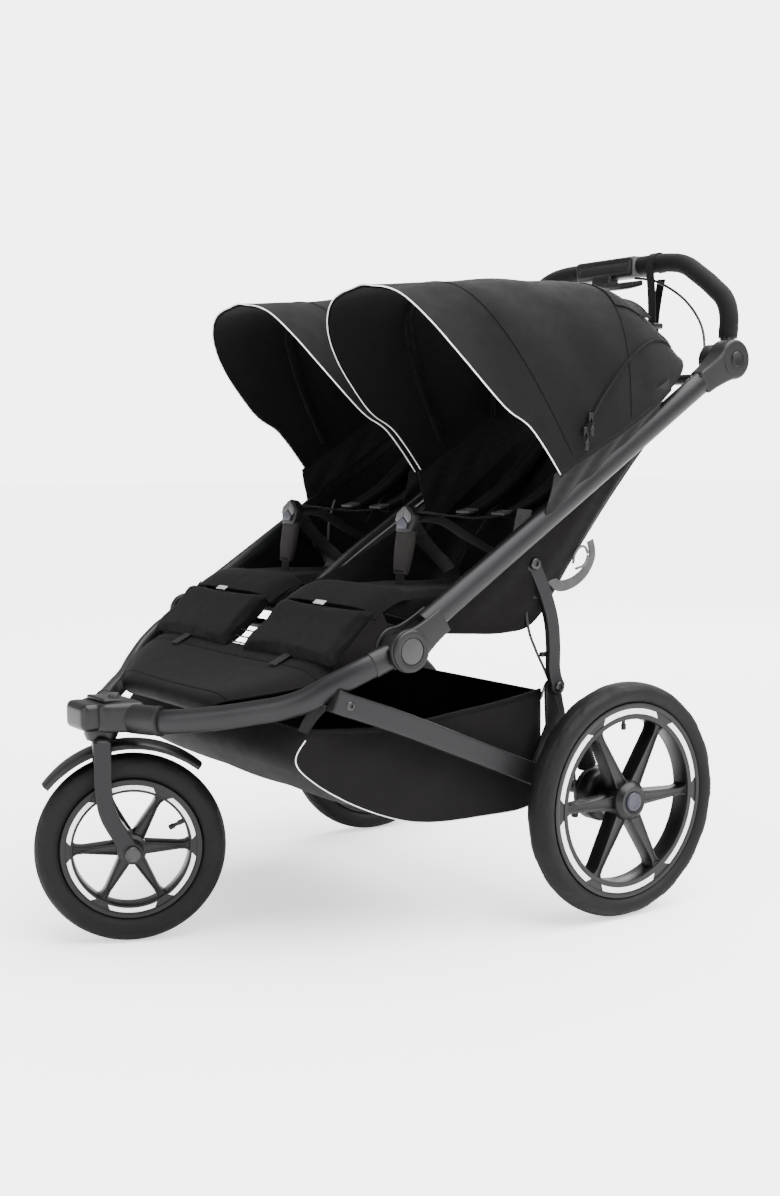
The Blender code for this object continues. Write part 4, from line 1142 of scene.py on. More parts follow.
# %% Joint housings and angle buttons
for side, sign in SIDES.items():
    outline = keyhole(0.0345, 0.0205, 0.080, (-1, -SLOPE))
    thick = 0.0380
    start = at(0.3303 if sign > 0 else -0.3683, *HANDLE_PIVOT)
    housing = panel(f"handle_joint_{side}", outline, thick, start, (0, 1, 0), (0, 0, 1))
    edges_rounded(housing, 0.0055, 5)
    flared(housing, HANDLE_PIVOT, (-1, -SLOPE), 0.62)
    ring = [(0.0300, -0.0020), (0.0300, 0.0002), (0.0275, 0.0006), (0.0160, 0.0006), (0.0155, -0.0020)]
    ring_centre = at(sign * 0.3683, *HANDLE_PIVOT)
    trim = turned("trim", [(radius, sign * place) for radius, place in ring], ring_centre, ring=True)
    finished(joined(f"handle_joint_{side}", [housing, trim]), "upper_frame", HOUSING,
             [f"handle_housing_{side}"])
    low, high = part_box(f"angle_button_{side}")
    outer_x = high.x if sign > 0 else low.x
    button = [(0.0100, -0.010), (0.0130, -0.010), (0.0130, -0.0016), (0.0118, -0.0002), (0.0060, -0.0010),
              (0.0020, -0.0012)]
    finished(turned(f"angle_push_button_{side}", [(radius, sign * place) for radius, place in button],
                    Vector((outer_x, (low.y + high.y) / 2, (low.z + high.z) / 2)), sides=40),
             f"angle_{side}", HOUSING_DARK, [f"angle_button_{side}"])
print("handle joints at", HANDLE_PIVOT)

# %% Foam-covered bar
HALF_BAR = [(0.000, 0.316, 1.137), (0.090, 0.316, 1.1365), (0.150, 0.3152, 1.1345), (0.186, 0.3142, 1.127),
            (0.225, 0.310, 1.106),
            (0.272, 0.303, 1.076), (0.302, 0.297, 1.052), (0.3145, 0.2935, 1.024), (0.3165, 0.290, 0.985)]
full_bar = [(-x, y, z) for x, y, z in reversed(HALF_BAR[1:])] + HALF_BAR
sleeve = bar("foam", [at(*point) for point in full_bar], 0.0335, 0.0345, sides=10, detail=8)
edges_rounded(sleeve, 0.003, 3)
finished(sleeve, "handle", FOAM, ["grip"]).name = "handlebar_foam"
cores = []
for sign in (1, -1):
    cores.append(bar("core",
                     mirrored_places([(0.3165, 0.2912, 1.000), (0.3165, 0.286, 0.972), (0.3165, 0.274, 0.953),
                                              (0.3165, 0.262, 0.9465)], sign), 0.0235, 0.0265, sides=10,
                                              detail=8))
    hub = [(0.012, 0.3035), (0.0265, 0.3035), (0.0284, 0.3055), (0.0284, 0.328), (0.027, 0.330),
           (0.012, 0.330)]
    cores.append(turned("hub", [(radius, sign * place) for radius, place in hub], at(0, *HANDLE_PIVOT),
                        sides=56))
finished(joined("handlebar_ends", cores), "handle", HOUSING_DARK, ["handlebar"])
print("handlebar foam:", [round(value, 3) for value in sleeve.dimensions])


# %% Grip block and brake lever
def grip_block():
    """The moulded block round the bar: flat in front and below, with a raised pad on top."""
    piece = block("grip_block", at(-0.012, 0.3125, 1.1345), (0.160, 0.0375, 0.040), 0.0085, 4)
    for vertex in piece.data.vertices:
        below = max(0.0, (1.1345 - vertex.co.z) / 0.020)
        vertex.co.x = at(-0.012, 0, 0).x + (vertex.co.x - at(-0.012, 0, 0).x) * (1 - 0.06 * below)
    pick_faces(piece, lambda face: face.normal.z > 0.99 or face.normal.y < -0.99)
    bpy.ops.mesh.inset(thickness=0.004, use_individual=True)
    bpy.ops.mesh.inset(thickness=0.0015, depth=-0.0012, use_individual=True)
    let_go()
    return edges_rounded(piece, 0.0008, 2)


mount = block("mount", at(-0.012, 0.3015, 1.1100), (0.052, 0.026, 0.022), 0.005, 3)
finished(joined("grip_block", [grip_block(), mount]), "handle", HOUSING_DARK, ["brake_mount"])
edge = block("grip_edge", at(0.0705, 0.3125, 1.1345), (0.0030, 0.0368, 0.0385), 0.0012, 2)
finished(edge, "handle", BUCKLE_EDGE)
LEVER = [(-0.112, 0.2790, 1.0985), (-0.095, 0.2750, 1.0965), (-0.040, 0.2765, 1.0970),
         (-0.010, 0.2850, 1.1010),
         (0.030, 0.2790, 1.0975), (0.080, 0.2755, 1.0965), (0.111, 0.2785, 1.0985)]
lever = bar("lever", [at(*point) for point in LEVER], 0.0095, 0.0145,
            sizes=(0.7, 0.95, 1, 1.05, 1, 0.95, 0.7),
            sides=8, detail=8)
finished(lever, "brake_squeeze", DARK_STEEL, ["brake_lever"]).name = "brake_lever_blade"
print("grip and lever done")


# %% Wrist strap
def strap(name, route, width, thick, out, finish, body, sizes=None):
    """A flat strap that follows a route, its face turned towards out."""
    out = Vector(out).normalized()
    places = [Vector(point) for point in route]

    def place(across, share):
        here = along(places, share)
        step = along(places, min(1.0, share + 0.02)) - along(places, max(0.0, share - 0.02))
        flat = step.cross(out).normalized()
        return here + flat * (across - 0.5) * width

    piece = cloth_sheet(name, 3, max(8, 6 * len(route)), place)
    apply_modifier(piece, "SOLIDIFY", thickness=thick, offset=0)
    closed_up(piece)
    edges_rounded(piece, thick * 0.3, 2)
    return finished(piece, body, finish)


LOOP = [(0.112, 0.331, 1.120), (0.112, 0.3345, 1.136), (0.112, 0.329, 1.150), (0.112, 0.3165, 1.1555),
        (0.112, 0.303, 1.150), (0.112, 0.2975, 1.136), (0.113, 0.299, 1.112), (0.113, 0.303, 1.078),
        (0.113, 0.305, 1.040), (0.112, 0.307, 1.000), (0.110, 0.309, 0.958), (0.108, 0.313, 0.944),
        (0.106, 0.318, 0.956), (0.106, 0.320, 1.000), (0.107, 0.321, 1.040), (0.110, 0.325, 1.080),
        (0.112, 0.330, 1.108)]
strap("wrist_strap", [at(*point) for point in LOOP], 0.019, 0.0018, (0, -1, 0), WEBBING, "handle")
slider = block("slider", at(0.1100, 0.3130, 1.020), (0.027, 0.026, 0.011), 0.003, 3)
finished(slider, "handle", HOUSING_DARK).name = "wrist_strap_slider"
print("wrist strap done")

# %% [markdown]
# ## Canopies
# Each seat has its own canopy: one taut sheet of cloth over two hoops, with a stiff visor in front.
# A canopy isn't a set of flat panels, so it is made as one sheet that is swept from its front edge
# to its back, through arches that are worked out station by station. The sheet then gets its
# thickness, and its binding, seams, zip and piping are sewn on along the same arches.

# %% Shape of a canopy
CANOPY_X = 0.195
FRONT_EDGE = [(0.1845, -0.157, 0.748), (0.1845, -0.195, 0.795), (0.1842, -0.226, 0.826),
              (0.1832, -0.262, 0.846),
              (0.1800, -0.292, 0.872), (0.165, -0.350, 0.935), (0.136, -0.390, 0.990), (0.085, -0.411, 1.031),
              (0.0, -0.415, 1.046)]
STATIONS = [((-0.120, 0.765), (-0.300, 1.0545), 0.1845), ((-0.070, 0.790), (-0.160, 1.0645), 0.1845),
            ((-0.010, 0.822), (-0.020, 1.0705), 0.1840), ((0.050, 0.858), (0.082, 1.0330), 0.1810),
            ((0.098, 0.890), (0.172, 0.9580), 0.1700)]


def edge_place(turn):
    """A place on the canopy's front edge: turn runs from -1, the inner foot, to 1, the outer foot."""
    width, y, z = along(FRONT_EDGE, 1 - abs(turn))
    return Vector((math.copysign(width, turn), y, z))


def arch_place(foot, crown, half, turn):
    """A place on an arch from foot to foot over its crown."""
    angle = (1 - abs(turn)) * math.pi / 2
    rise = math.sin(angle) ** 0.75
    wide = math.cos(angle) ** 0.62 if abs(turn) > 0 else 0.0
    y = foot[0] + (crown[0] - foot[0]) * rise
    z = foot[1] + (crown[1] - foot[1]) * rise
    return Vector((math.copysign(half * wide, turn), y, z))


def canopy_place(turn, back, sign, inset=0.0):
    """A place on the cloth: back runs from 0 at the front edge to 1 at the rear edge."""
    lines = [edge_place(turn)] + [arch_place(foot, crown, half, turn) for foot, crown, half in STATIONS]
    place = along(lines, back)
    ripple = 0.0026 * math.sin(13 * back + 5 * turn) + 0.0014 * math.sin(29 * back - 7 * turn + 1)
    ripple *= math.sin(math.pi * back) * (1 - turn * turn) ** 0.5
    shrink = 1 - (inset + ripple) / 0.19
    return at(sign * (CANOPY_X + place.x * shrink), place.y, place.z - inset * (1 - abs(turn)) - ripple)


def canopy_sheet(name, sign, low, high, inset, columns=64, rows=44):
    """The canopy's cloth between two places from front to back."""
    def place(across, share):
        return canopy_place((2 * across - 1) * 0.9995, low + (high - low) * share, sign, inset)
    return cloth_sheet(name, columns, rows, place)


def canopy_finished(piece, side, finish, replaces=(), angle=60):
    """Gives a canopy piece its finish and smooth shading, hides the CAD parts that it replaces and moves its
    place into its mesh.
    """
    only(piece)
    piece.data.materials.clear()
    piece.data.materials.append(finish)
    bpy.ops.object.shade_smooth_by_angle(angle=math.radians(angle))
    if replaces:
        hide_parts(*replaces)
    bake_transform(piece)
    return piece


def canopy_line(name, side, path, thick, finish, inset=0.0, wide=None, replaces=()):
    """A piping, seam or rib along (turn, back) places on the cloth."""
    sign = SIDES[side]
    route = [canopy_place(turn, back, sign, inset) for turn, back in path]
    piece = bar(name, route, thick, wide or thick, twist="MINIMUM", sides=4, detail=3)
    return canopy_finished(piece, side, finish, replaces)


def canopy_band(name, side, path, width, thick, finish, inset=-0.0022):
    """A flat band sewn onto the cloth: path(share) gives its (turn, back), width is across it."""
    sign = SIDES[side]

    def place(across, share):
        turn, back = path(share)
        return canopy_place(turn, back + (across - 0.5) * width, sign, inset)

    piece = cloth_sheet(name, 3, 60, place)
    apply_modifier(piece, "SOLIDIFY", thickness=thick, offset=0)
    return canopy_finished(closed_up(piece), side, finish)


# %% Cloth and lining
def fabric_area(piece):
    """The flat area of a sheet before it has any thickness."""
    return sum(face.area for face in piece.data.polygons)


canopies, canopy_areas = {}, {}
for side, sign in SIDES.items():
    cloth = canopy_sheet(f"canopy_{side}_cloth", sign, 0.0, 1.0, 0.0)
    canopy_areas[side] = round(fabric_area(cloth), 4)
    apply_modifier(cloth, "SOLIDIFY", thickness=0.0018, offset=0)
    canopies[side] = canopy_finished(closed_up(cloth), side, CANOPY, [f"canopy_{side}"])
    lining = canopy_sheet(f"canopy_{side}_lining", sign, 0.012, 0.985, 0.0045, 48, 36)
    apply_modifier(lining, "SOLIDIFY", thickness=0.0010, offset=0)
    canopy_finished(closed_up(lining), side, CANOPY_LINING)
    print("canopy", side, "cloth", canopy_areas[side], "m2")

# %% [markdown]
# ### What is sewn onto a canopy
# White piping runs along the whole front edge, so that the stroller is seen at night.
# Inside, a hoop in a sleeve carries the visor and a second band lies behind it. A zip opens the
# back panel, with two pulls low on the side, and a black binding closes the bottom edge.
# Each of these follows the same places on the cloth.

# %% Piping, hoop, bands, seams and zip
FULL_TURN = [-1 + i / 20 for i in range(41)]


def zip_path(share):
    """The zip climbs from low on one side, over the back, to low on the other side."""
    turn = 1 - 2 * share
    height = 1 - abs(turn)
    return 0.958 * turn, 0.30 + 0.60 * min(1.0, height / 0.45) ** 0.72


HOOP_BACK = 0.27                                     # the front hoop's place between the two edges
for side, sign in SIDES.items():
    canopy_line(f"canopy_{side}_piping", side, [(turn, 0.0) for turn in FULL_TURN], 0.0021, PIPING)
    hoop = canopy_line(f"canopy_{side}_hoop_sleeve", side, [(turn * 0.97, HOOP_BACK) for turn in FULL_TURN],
                       0.0085, EDGING, 0.0125, wide=0.017, replaces=[f"canopy_bow_{side}"])
    canopy_line(f"canopy_{side}_rear_hoop", side, [(turn * 0.97, 0.62) for turn in FULL_TURN],
                0.006, SEAT, 0.0110, wide=0.020)
    for foot, label in ((1.0, "outer"), (-1.0, "inner")):
        base = [(0.9985 * foot, i / 14) for i in range(15)]
        canopy_line(f"canopy_{side}_{label}_binding", side, base, 0.0046, EDGING, wide=0.0105)
    canopy_line(f"canopy_{side}_visor_seam", side, [(turn * 0.985, 0.19) for turn in FULL_TURN], 0.0016,
                CANOPY, -0.0012)
    canopy_line(f"canopy_{side}_mid_seam", side, [(turn * 0.985, 0.62) for turn in FULL_TURN], 0.0016,
                CANOPY, -0.0012)
    canopy_line(f"canopy_{side}_rear_binding", side, [(turn * 0.998, 1.0) for turn in FULL_TURN], 0.0042,
                EDGING)
    canopy_band(f"canopy_{side}_zip_band", side, zip_path, 0.034, 0.0014, EDGING)
    canopy_band(f"canopy_{side}_zip_teeth", side, zip_path, 0.008, 0.0020, HOUSING_DARK,
                        inset=-0.0034)
print("sewn lines done")


# %% Window flap and zip pulls
def flap_place(across, share, sign):
    """The flap over the rear window: it lies on the cloth and curls up at its free edge."""
    turn = 0.46 * (2 * across - 1)
    lift = 0.0030 + 0.0085 * max(0.0, share - 0.7) ** 1.5 / 0.3 ** 1.5
    return canopy_place(turn, 0.62 + 0.17 * share, sign, -lift)


for side, sign in SIDES.items():
    flap = cloth_sheet(f"canopy_{side}_window_flap", 24, 14, lambda across,
                       share: flap_place(across, share, sign))
    apply_modifier(flap, "SOLIDIFY", thickness=0.0014, offset=0)
    canopy_finished(closed_up(flap), side, CANOPY)
    rim = bar(f"canopy_{side}_flap_binding", [flap_place(i / 20, 1.0, sign) for i in range(21)], 0.003, 0.003,
              twist="MINIMUM", sides=4, detail=3)
    canopy_finished(rim, side, EDGING)
    for number, (turn, back) in enumerate(((0.958, 0.315), (0.930, 0.365))):
        here = canopy_place(turn, back, sign, -0.006)
        slider = block("slider", here, (0.0052, 0.0085, 0.014), 0.0016, 3)
        tab = bar("tab", [here + Vector((sign * 0.003, 0.001, -0.003)),
                          here + Vector((sign * 0.005, 0.0, -0.014)),
                          here + Vector((sign * 0.004, -0.001, -0.030))], 0.0022, 0.0062, twist="Z_UP",
                          sides=5)
        canopy_finished(joined(f"canopy_{side}_zip_pull_{number}", [slider, tab]), side, HOUSING_DARK)
print("flaps and pulls done")


# %% Side meshes below the canopy
def mesh_place(across, share, sign, foot):
    """Loose netting that hangs from the canopy's foot line to the seat side, with soft creases."""
    y = -0.168 + 0.253 * across
    top = 0.772 + 0.62 * (y + 0.130)
    z = top - (0.105 - 0.04 * across) * share
    crease = 0.0022 * math.sin(19 * across + 9 * share) * math.sin(math.pi * share)
    x = CANOPY_X + foot * (0.1815 - 0.030 * share + crease)
    return at(sign * x, y, z)


for side, sign in SIDES.items():
    for foot, label in ((1, "outer"), (-1, "inner")):
        net = cloth_sheet(f"canopy_{side}_{label}_net", 36, 14, lambda a, b: mesh_place(a, b, sign, foot))
        apply_modifier(net, "SOLIDIFY", thickness=0.0012, offset=0)
        finished(closed_up(net), "upper_frame", NET, angle=60)
print("side meshes done")

# %% [markdown]
# ## Seats
# A seat cushion is a cover stuffed with foam. Its sides pull in between the corners and its faces
# swell, and the quickest honest way to that shape is to let cloth do it: the plain solid is
# remeshed into small squares, blown up a little by pressure, and stopped before it swells too far.
# The seams are laid on afterwards, because remeshing would wipe them out.

# %% Blowing up a pad
def plumped(piece, voxel, cap, pressure=4.0):
    """A pad, remeshed and swollen by cloth pressure; no point moves further than the cap."""
    apply_modifier(piece, "REMESH", mode="VOXEL", voxel_size=voxel)
    apply_modifier(piece, "DISPLACE", strength=-0.0035, mid_level=0.0)
    count = len(piece.data.vertices)
    start = np.empty(count * 3)
    piece.data.vertices.foreach_get("co", start)
    only(piece)
    cloth = piece.modifiers.new("Cloth", "CLOTH")
    cloth.settings.use_pressure = True
    cloth.settings.uniform_pressure_force = pressure
    cloth.settings.effector_weights.gravity = 0
    cloth.settings.quality = 4
    cloth.settings.tension_stiffness = 12
    cloth.settings.bending_stiffness = 0.4
    cloth.point_cache.frame_start, cloth.point_cache.frame_end = 1, 20
    for moment in range(1, 21):
        bpy.context.scene.frame_set(moment)
    swollen = piece.evaluated_get(bpy.context.evaluated_depsgraph_get())
    end = np.empty(count * 3)
    swollen.data.vertices.foreach_get("co", end)
    piece.modifiers.remove(cloth)
    bpy.context.scene.frame_set(1)
    moves = (end - start).reshape(-1, 3)
    lengths = np.linalg.norm(moves, axis=1, keepdims=True)
    moves *= np.minimum(1.0, cap / np.maximum(lengths, 1e-9))
    piece.data.vertices.foreach_set("co", start + moves.ravel())
    piece.data.update()
    apply_modifier(piece, "SMOOTH", factor=0.5, iterations=4)
    return smooth(piece, 1)


def pad_from_node(name, node):
    """A copy of a node's solid with its loose triangles merged."""
    let_go()
    source = frame["nodes"][node]
    piece = bpy.data.objects.new(name, source.data.copy())
    bpy.context.scene.collection.objects.link(piece)
    only(piece)
    bpy.ops.object.mode_set(mode="EDIT")
    bpy.ops.mesh.select_mode(type="VERT")
    bpy.ops.mesh.select_all(action="SELECT")
    bpy.ops.mesh.remove_doubles(threshold=0.00002)
    let_go()
    return piece


# %% Seat cushions, backs and leg pads
PADS = {"seat_base": (SEAT, "upper_frame", 0.006, 0.007), "seat_back": (SEAT, "back_{}", 0.006, 0.007),
        "leg_pad": (PAD, "upper_frame", 0.0055, 0.008)}
for kind, (finish, body, voxel, cap) in PADS.items():
    left = plumped(pad_from_node(f"{kind}_left_cushion", f"{kind}_left"), voxel, cap)
    right = copied(left, f"{kind}_right_cushion", mirror=True)
    for side, piece in (("left", left), ("right", right)):
        finished(piece, body.format(side), finish, [f"{kind}_{side}"], angle=70)
    print(kind, "faces:", len(left.data.polygons), "size:", [round(value, 3) for value in left.dimensions])

# %% [markdown]
# ### Covers, sides and edges of the seats
# Each seat hangs in a cloth pod: its sides run from the long tube down to the cushion's edge.
# The sides are single sheets, so each is a grid whose rows run between two lines in the frame.
# A strip of the same cloth closes the front of the seat above the leg pad.

# %% Pod sides
TUBE_LINE = [(-0.425, 0.503), (-0.32, 0.571), (-0.22, 0.634), (-0.12, 0.699), (-0.02, 0.763), (0.08, 0.828),
             (0.16, 0.879), (0.212, 0.913)]
POD_LINE = [(-0.442, 0.520), (-0.385, 0.505), (-0.290, 0.496), (-0.195, 0.492), (-0.135, 0.512),
            (-0.055, 0.612), (0.055, 0.742), (0.165, 0.862)]
INNER_LINE = [(-0.425, 0.548), (-0.30, 0.60), (-0.20, 0.655), (-0.12, 0.700), (-0.02, 0.763), (0.08, 0.828),
              (0.16, 0.879), (0.205, 0.905)]


def pod_place(upper, lower, x_high, x_low, sign, across, share):
    """A place on a pod side, between its line under the tube and its line at the cushion."""
    high, low = along([(0, *point) for point in upper], across), along([(0, *point) for point in lower],
                                                                       across)
    here = high.lerp(low, share)
    belly = 0.010 * math.sin(math.pi * share) * math.sin(math.pi * min(1.0, 1.15 * across))
    crease = 0.0012 * math.sin(34 * across + 7 * share) * math.sin(math.pi * share)
    return at(sign * (x_high + (x_low - x_high) * share + belly + crease), here.y, here.z)


for side, sign in SIDES.items():
    outer = cloth_sheet(f"seat_pod_{side}_outer", 60, 16,
                        lambda a, b: pod_place(TUBE_LINE, POD_LINE, 0.3275, 0.300, sign, a, b))
    inner = cloth_sheet(f"seat_pod_{side}_inner", 60, 12,
                        lambda a, b: pod_place(INNER_LINE, POD_LINE, 0.012, 0.052, sign, a, b))
    for piece in (outer, inner):
        pod_area = round(fabric_area(piece), 4)
        apply_modifier(piece, "SOLIDIFY", thickness=0.0018, offset=0)
        finished(closed_up(piece), "upper_frame", POD, angle=60)
    hem = bar(f"seat_pod_{side}_hem",
              [pod_place(TUBE_LINE, POD_LINE, 0.3275, 0.300, sign, i / 16, 1.0) for i in range(17)],
              0.0042, 0.0042, twist="MINIMUM", sides=4, detail=3)
    finished(hem, "upper_frame", EDGING)
print("pod sides:", [round(value, 3) for value in outer.dimensions])


# %% Pod floor, front strips and back seams
def floor_place(across, share, sign):
    """The cloth under the cushion: it follows the pod's lower line and rounds up at both sides."""
    low = along([(0, *point) for point in POD_LINE[:5]], share)
    s = 2 * across - 1
    rise = 0.022 * abs(s) ** 5
    return at(sign * (0.1765 + 0.1235 * s), low.y, low.z - 0.006 + rise)


for side, sign in SIDES.items():
    under = cloth_sheet(f"seat_pod_{side}_floor", 20, 24, lambda a, b: floor_place(a, b, sign))
    apply_modifier(under, "SOLIDIFY", thickness=0.0018, offset=0)
    finished(closed_up(under), "upper_frame", POD, angle=60)
    strip = cloth_sheet(f"seat_front_strip_{side}", 30, 8, lambda a, b: at(
        sign * (0.016 + 0.280 * a), -0.460 + 0.070 * b,
        0.5425 + 0.0275 * math.sin(0.55 * math.pi * b) - 0.016 * abs(2 * a - 1) ** 7))
    apply_modifier(strip, "SOLIDIFY", thickness=0.0022, offset=0)
    finished(closed_up(strip), "upper_frame", PAD, angle=60)
    for x in (0.066, 0.294):
        seam = bar(f"seat_back_seam_{side}_{round(x * 1000)}", [at(sign * x, y, z) for y, z in (
            (-0.118, 0.590), (-0.060, 0.662), (0.000, 0.732), (0.060, 0.802), (0.112, 0.862))],
            0.0034, 0.0034, twist="MINIMUM", sides=4, detail=6)
        finished(seam, f"back_{side}", EDGING)
    tag = block(f"leg_pad_tag_{side}", at(sign * 0.160, -0.4725, 0.5445), (0.030, 0.009, 0.0016), 0.0006, 2,
                Matrix.Rotation(math.radians(35), 4, "X"))
    finished(tag, "upper_frame", LABEL)
print("pods closed")

# %% [markdown]
# ## Harness
# Two padded shoulder straps and two waist straps meet at a buckle that stands up from the seat.
# Webbing is too thin to blow up, so every strap is a strip that follows a route and faces a side.
# The shoulder pads are soft bars; a ladder lock at the end of each lets the strap be shortened.

# %% Shoulder straps, waist straps and tabs
def harness_blend(piece, side):
    """Takes a strap off the body that it was given and moves its place into its mesh."""
    piece.parent = None
    if "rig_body" in piece:
        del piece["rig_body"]
    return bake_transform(piece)


SEAT_X = 0.180
for side, sign in SIDES.items():
    for hand in (1, -1):
        label = f"{side}_{'outer' if hand > 0 else 'inner'}"
        lateral = [(0.060, 0.070, 0.826), (0.060, 0.010, 0.768), (0.060, -0.045, 0.716),
                   (0.056, -0.100, 0.682), (0.050, -0.142, 0.664)]
        pad = bar(f"shoulder_pad_{label}", [at(sign * (SEAT_X + hand * x), y, z + 0.013) for x, y,
                                            z in lateral],
                  0.046, 0.0135, sizes=(0.9, 1, 1, 1, 0.92), sides=10, detail=8)
        edges_rounded(pad, 0.003, 2)
        finished(pad, "upper_frame", PAD)
        harness_blend(pad, side)
        web = [(0.047, -0.138, 0.681), (0.043, -0.175, 0.675), (0.037, -0.215, 0.675), (0.027, -0.262, 0.681),
               (0.012, -0.306, 0.687)]
        web = [(0.052, -0.100, 0.698)] + web
        piece = strap(f"shoulder_web_{label}", [at(sign * (SEAT_X + hand * x), y, z) for x, y, z in web],
                      0.022, 0.0018, (0, -0.3, 1), WEBBING, "upper_frame")
        harness_blend(piece, side)
        lock_at = at(sign * (SEAT_X + hand * 0.0475), -0.150, 0.6825)
        tilt = Matrix.Rotation(math.radians(12), 4, "X")
        lock = [block("lock", lock_at + Vector((0, y, z)), (0.034, 0.0045, 0.0042), 0.0014, 2, tilt)
                for y, z in ((-0.010, -0.002), (0.0, 0.0), (0.010, 0.002))]
        lock += [block("lock", lock_at + Vector((x, 0, 0)), (0.0042, 0.025, 0.005), 0.0015, 2,
                       tilt) for x in (-0.015, 0.015)]
        harness_blend(finished(joined(f"ladder_lock_{label}", lock), "upper_frame", BUCKLE_EDGE),
                      side)
        waist = [(0.010, -0.305, 0.676), (0.040, -0.275, 0.672), (0.068, -0.240, 0.645),
                 (0.090, -0.200, 0.618), (0.105, -0.160, 0.592), (0.112, -0.138, 0.576)]
        strap(f"waist_web_{label}", [at(sign * (SEAT_X + hand * x), y, z) for x, y, z in waist],
              0.024, 0.0018, (hand * 0.35 * sign, -0.4, 1), WEBBING, "upper_frame")
    tab = [(0.105, -0.150, 0.690), (0.1065, -0.158, 0.665), (0.107, -0.163, 0.640), (0.1065, -0.165, 0.612)]
    strap(f"grey_tab_{side}", [at(sign * (SEAT_X + x), y, z) for x, y, z in tab], 0.026, 0.0018,
          (sign * 0.5, -1, 0.1), GREY_WEBBING, "upper_frame")
print("harness webbing done")

# %% Buckles
for side, sign in SIDES.items():
    low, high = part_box(f"crotch_buckle_{side}")
    centre_x = (low.x + high.x) / 2
    foot = Vector((centre_x, at(0, -0.330, 0).y, 0.5640))
    head = Vector((centre_x, at(0, -0.3085, 0).y, 0.6890))
    axis = (head - foot).normalized()
    strap(f"crotch_web_{side}", [foot + axis * -0.012, foot + axis * 0.012, foot + axis * 0.036], 0.024,
          0.002,
          (0, -1, 0), WEBBING, "upper_frame")
    cover = bar(f"crotch_cover_{side}", [foot + axis * step for step in (0.020, 0.030, 0.050, 0.075, 0.092)],
                0.046, 0.0165, sizes=(0.72, 0.82, 0.95, 1.0, 0.98), twist="MINIMUM", sides=10, detail=8)
    edges_rounded(cover, 0.0025, 3)
    finished(cover, "upper_frame", COVER)
    cover_seam = bar(f"crotch_cover_seam_{side}",
                     [foot + axis * 0.026 + Vector((x, -0.0072, 0)) for x in (-0.014, 0, 0.014)],
                     0.002, 0.002, sides=4, detail=4)
    finished(cover_seam, "upper_frame", EDGING)
    body_outline = [(-0.020, -0.012), (0.020, -0.012), (0.0235, 0.004), (0.0225, 0.018), (0.012, 0.030),
                    (0.0, 0.0345),
                    (-0.012, 0.030), (-0.0225, 0.018), (-0.0235, 0.004)]
    face = axis.cross(Vector((1, 0, 0))).normalized()
    middle = foot + axis * 0.100
    shell = panel(f"buckle_{side}", body_outline, 0.017, middle - face * 0.0085,
                  (-1, 0, 0) if face.y > 0 else (1, 0, 0), axis)
    edges_rounded(shell, 0.0026, 3)
    finished(shell, "upper_frame", HOUSING_DARK, [f"crotch_buckle_{side}"])
    front = middle + Vector((0, -0.0090, 0)) + axis * 0.004
    button_outline = [(-0.0115, -0.0085), (0.0115, -0.0085), (0.0130, 0.0010), (0.0, 0.0105),
                      (-0.0130, 0.0010)]
    button = panel(f"buckle_push_{side}", button_outline, 0.0042, front, (1, 0, 0), axis)
    edges_rounded(button, 0.0009, 2)
    finished(button, f"release_{side}", BUCKLE_BUTTON, [f"buckle_button_{side}"])
    for hand in (1, -1):
        wing_outline = [(0.0, 0.0120), (0.0145, 0.0015), (0.0200, 0.0050), (0.0180, 0.0160), (0.0, 0.0290)]
        wing_outline = [(hand * x, y) for x, y in wing_outline]
        if hand < 0:
            wing_outline.reverse()
        wing = panel(f"buckle_wing_{side}_{'outer' if hand > 0 else 'inner'}", wing_outline, 0.0034,
                     front + Vector((hand * 0.0006, 0.0004, 0)), (1, 0, 0), axis)
        edges_rounded(wing, 0.0008, 2)
        finished(wing, "upper_frame", BUCKLE_EDGE)
print("buckles done")

# %% [markdown]
# ## Footwell
# Below the leg pads a stiff panel carries the children's feet. It hangs between the front tubes,
# narrows towards the head of the fork and rolls under along its front edge. It is a single sheet,
# so it is made from the rows of one grid, and its ridge and seam are laid along those rows.

# %% Footwell panel, seam and loops
FOOTWELL = [(-0.530, 0.462, 0.296), (-0.566, 0.449, 0.278), (-0.600, 0.436, 0.248), (-0.636, 0.421, 0.203),
            (-0.661, 0.408, 0.166), (-0.668, 0.394, 0.156), (-0.658, 0.378, 0.158), (-0.634, 0.366, 0.168)]


def footwell_place(across, share, lift=0.0):
    """A place on the panel, which sags a little and has a raised ridge along its front third."""
    half, y, z = along([(half, y, z) for y, z, half in FOOTWELL], share)
    side = 2 * across - 1
    dish = 0.007 * (1 - side * side) * math.sin(math.pi * min(1.0, 1.6 * share))
    curl = abs(side) ** 12 * (1 - share)
    return at((half + 0.006 * curl) * side, y, z - dish - 0.020 * curl + lift)


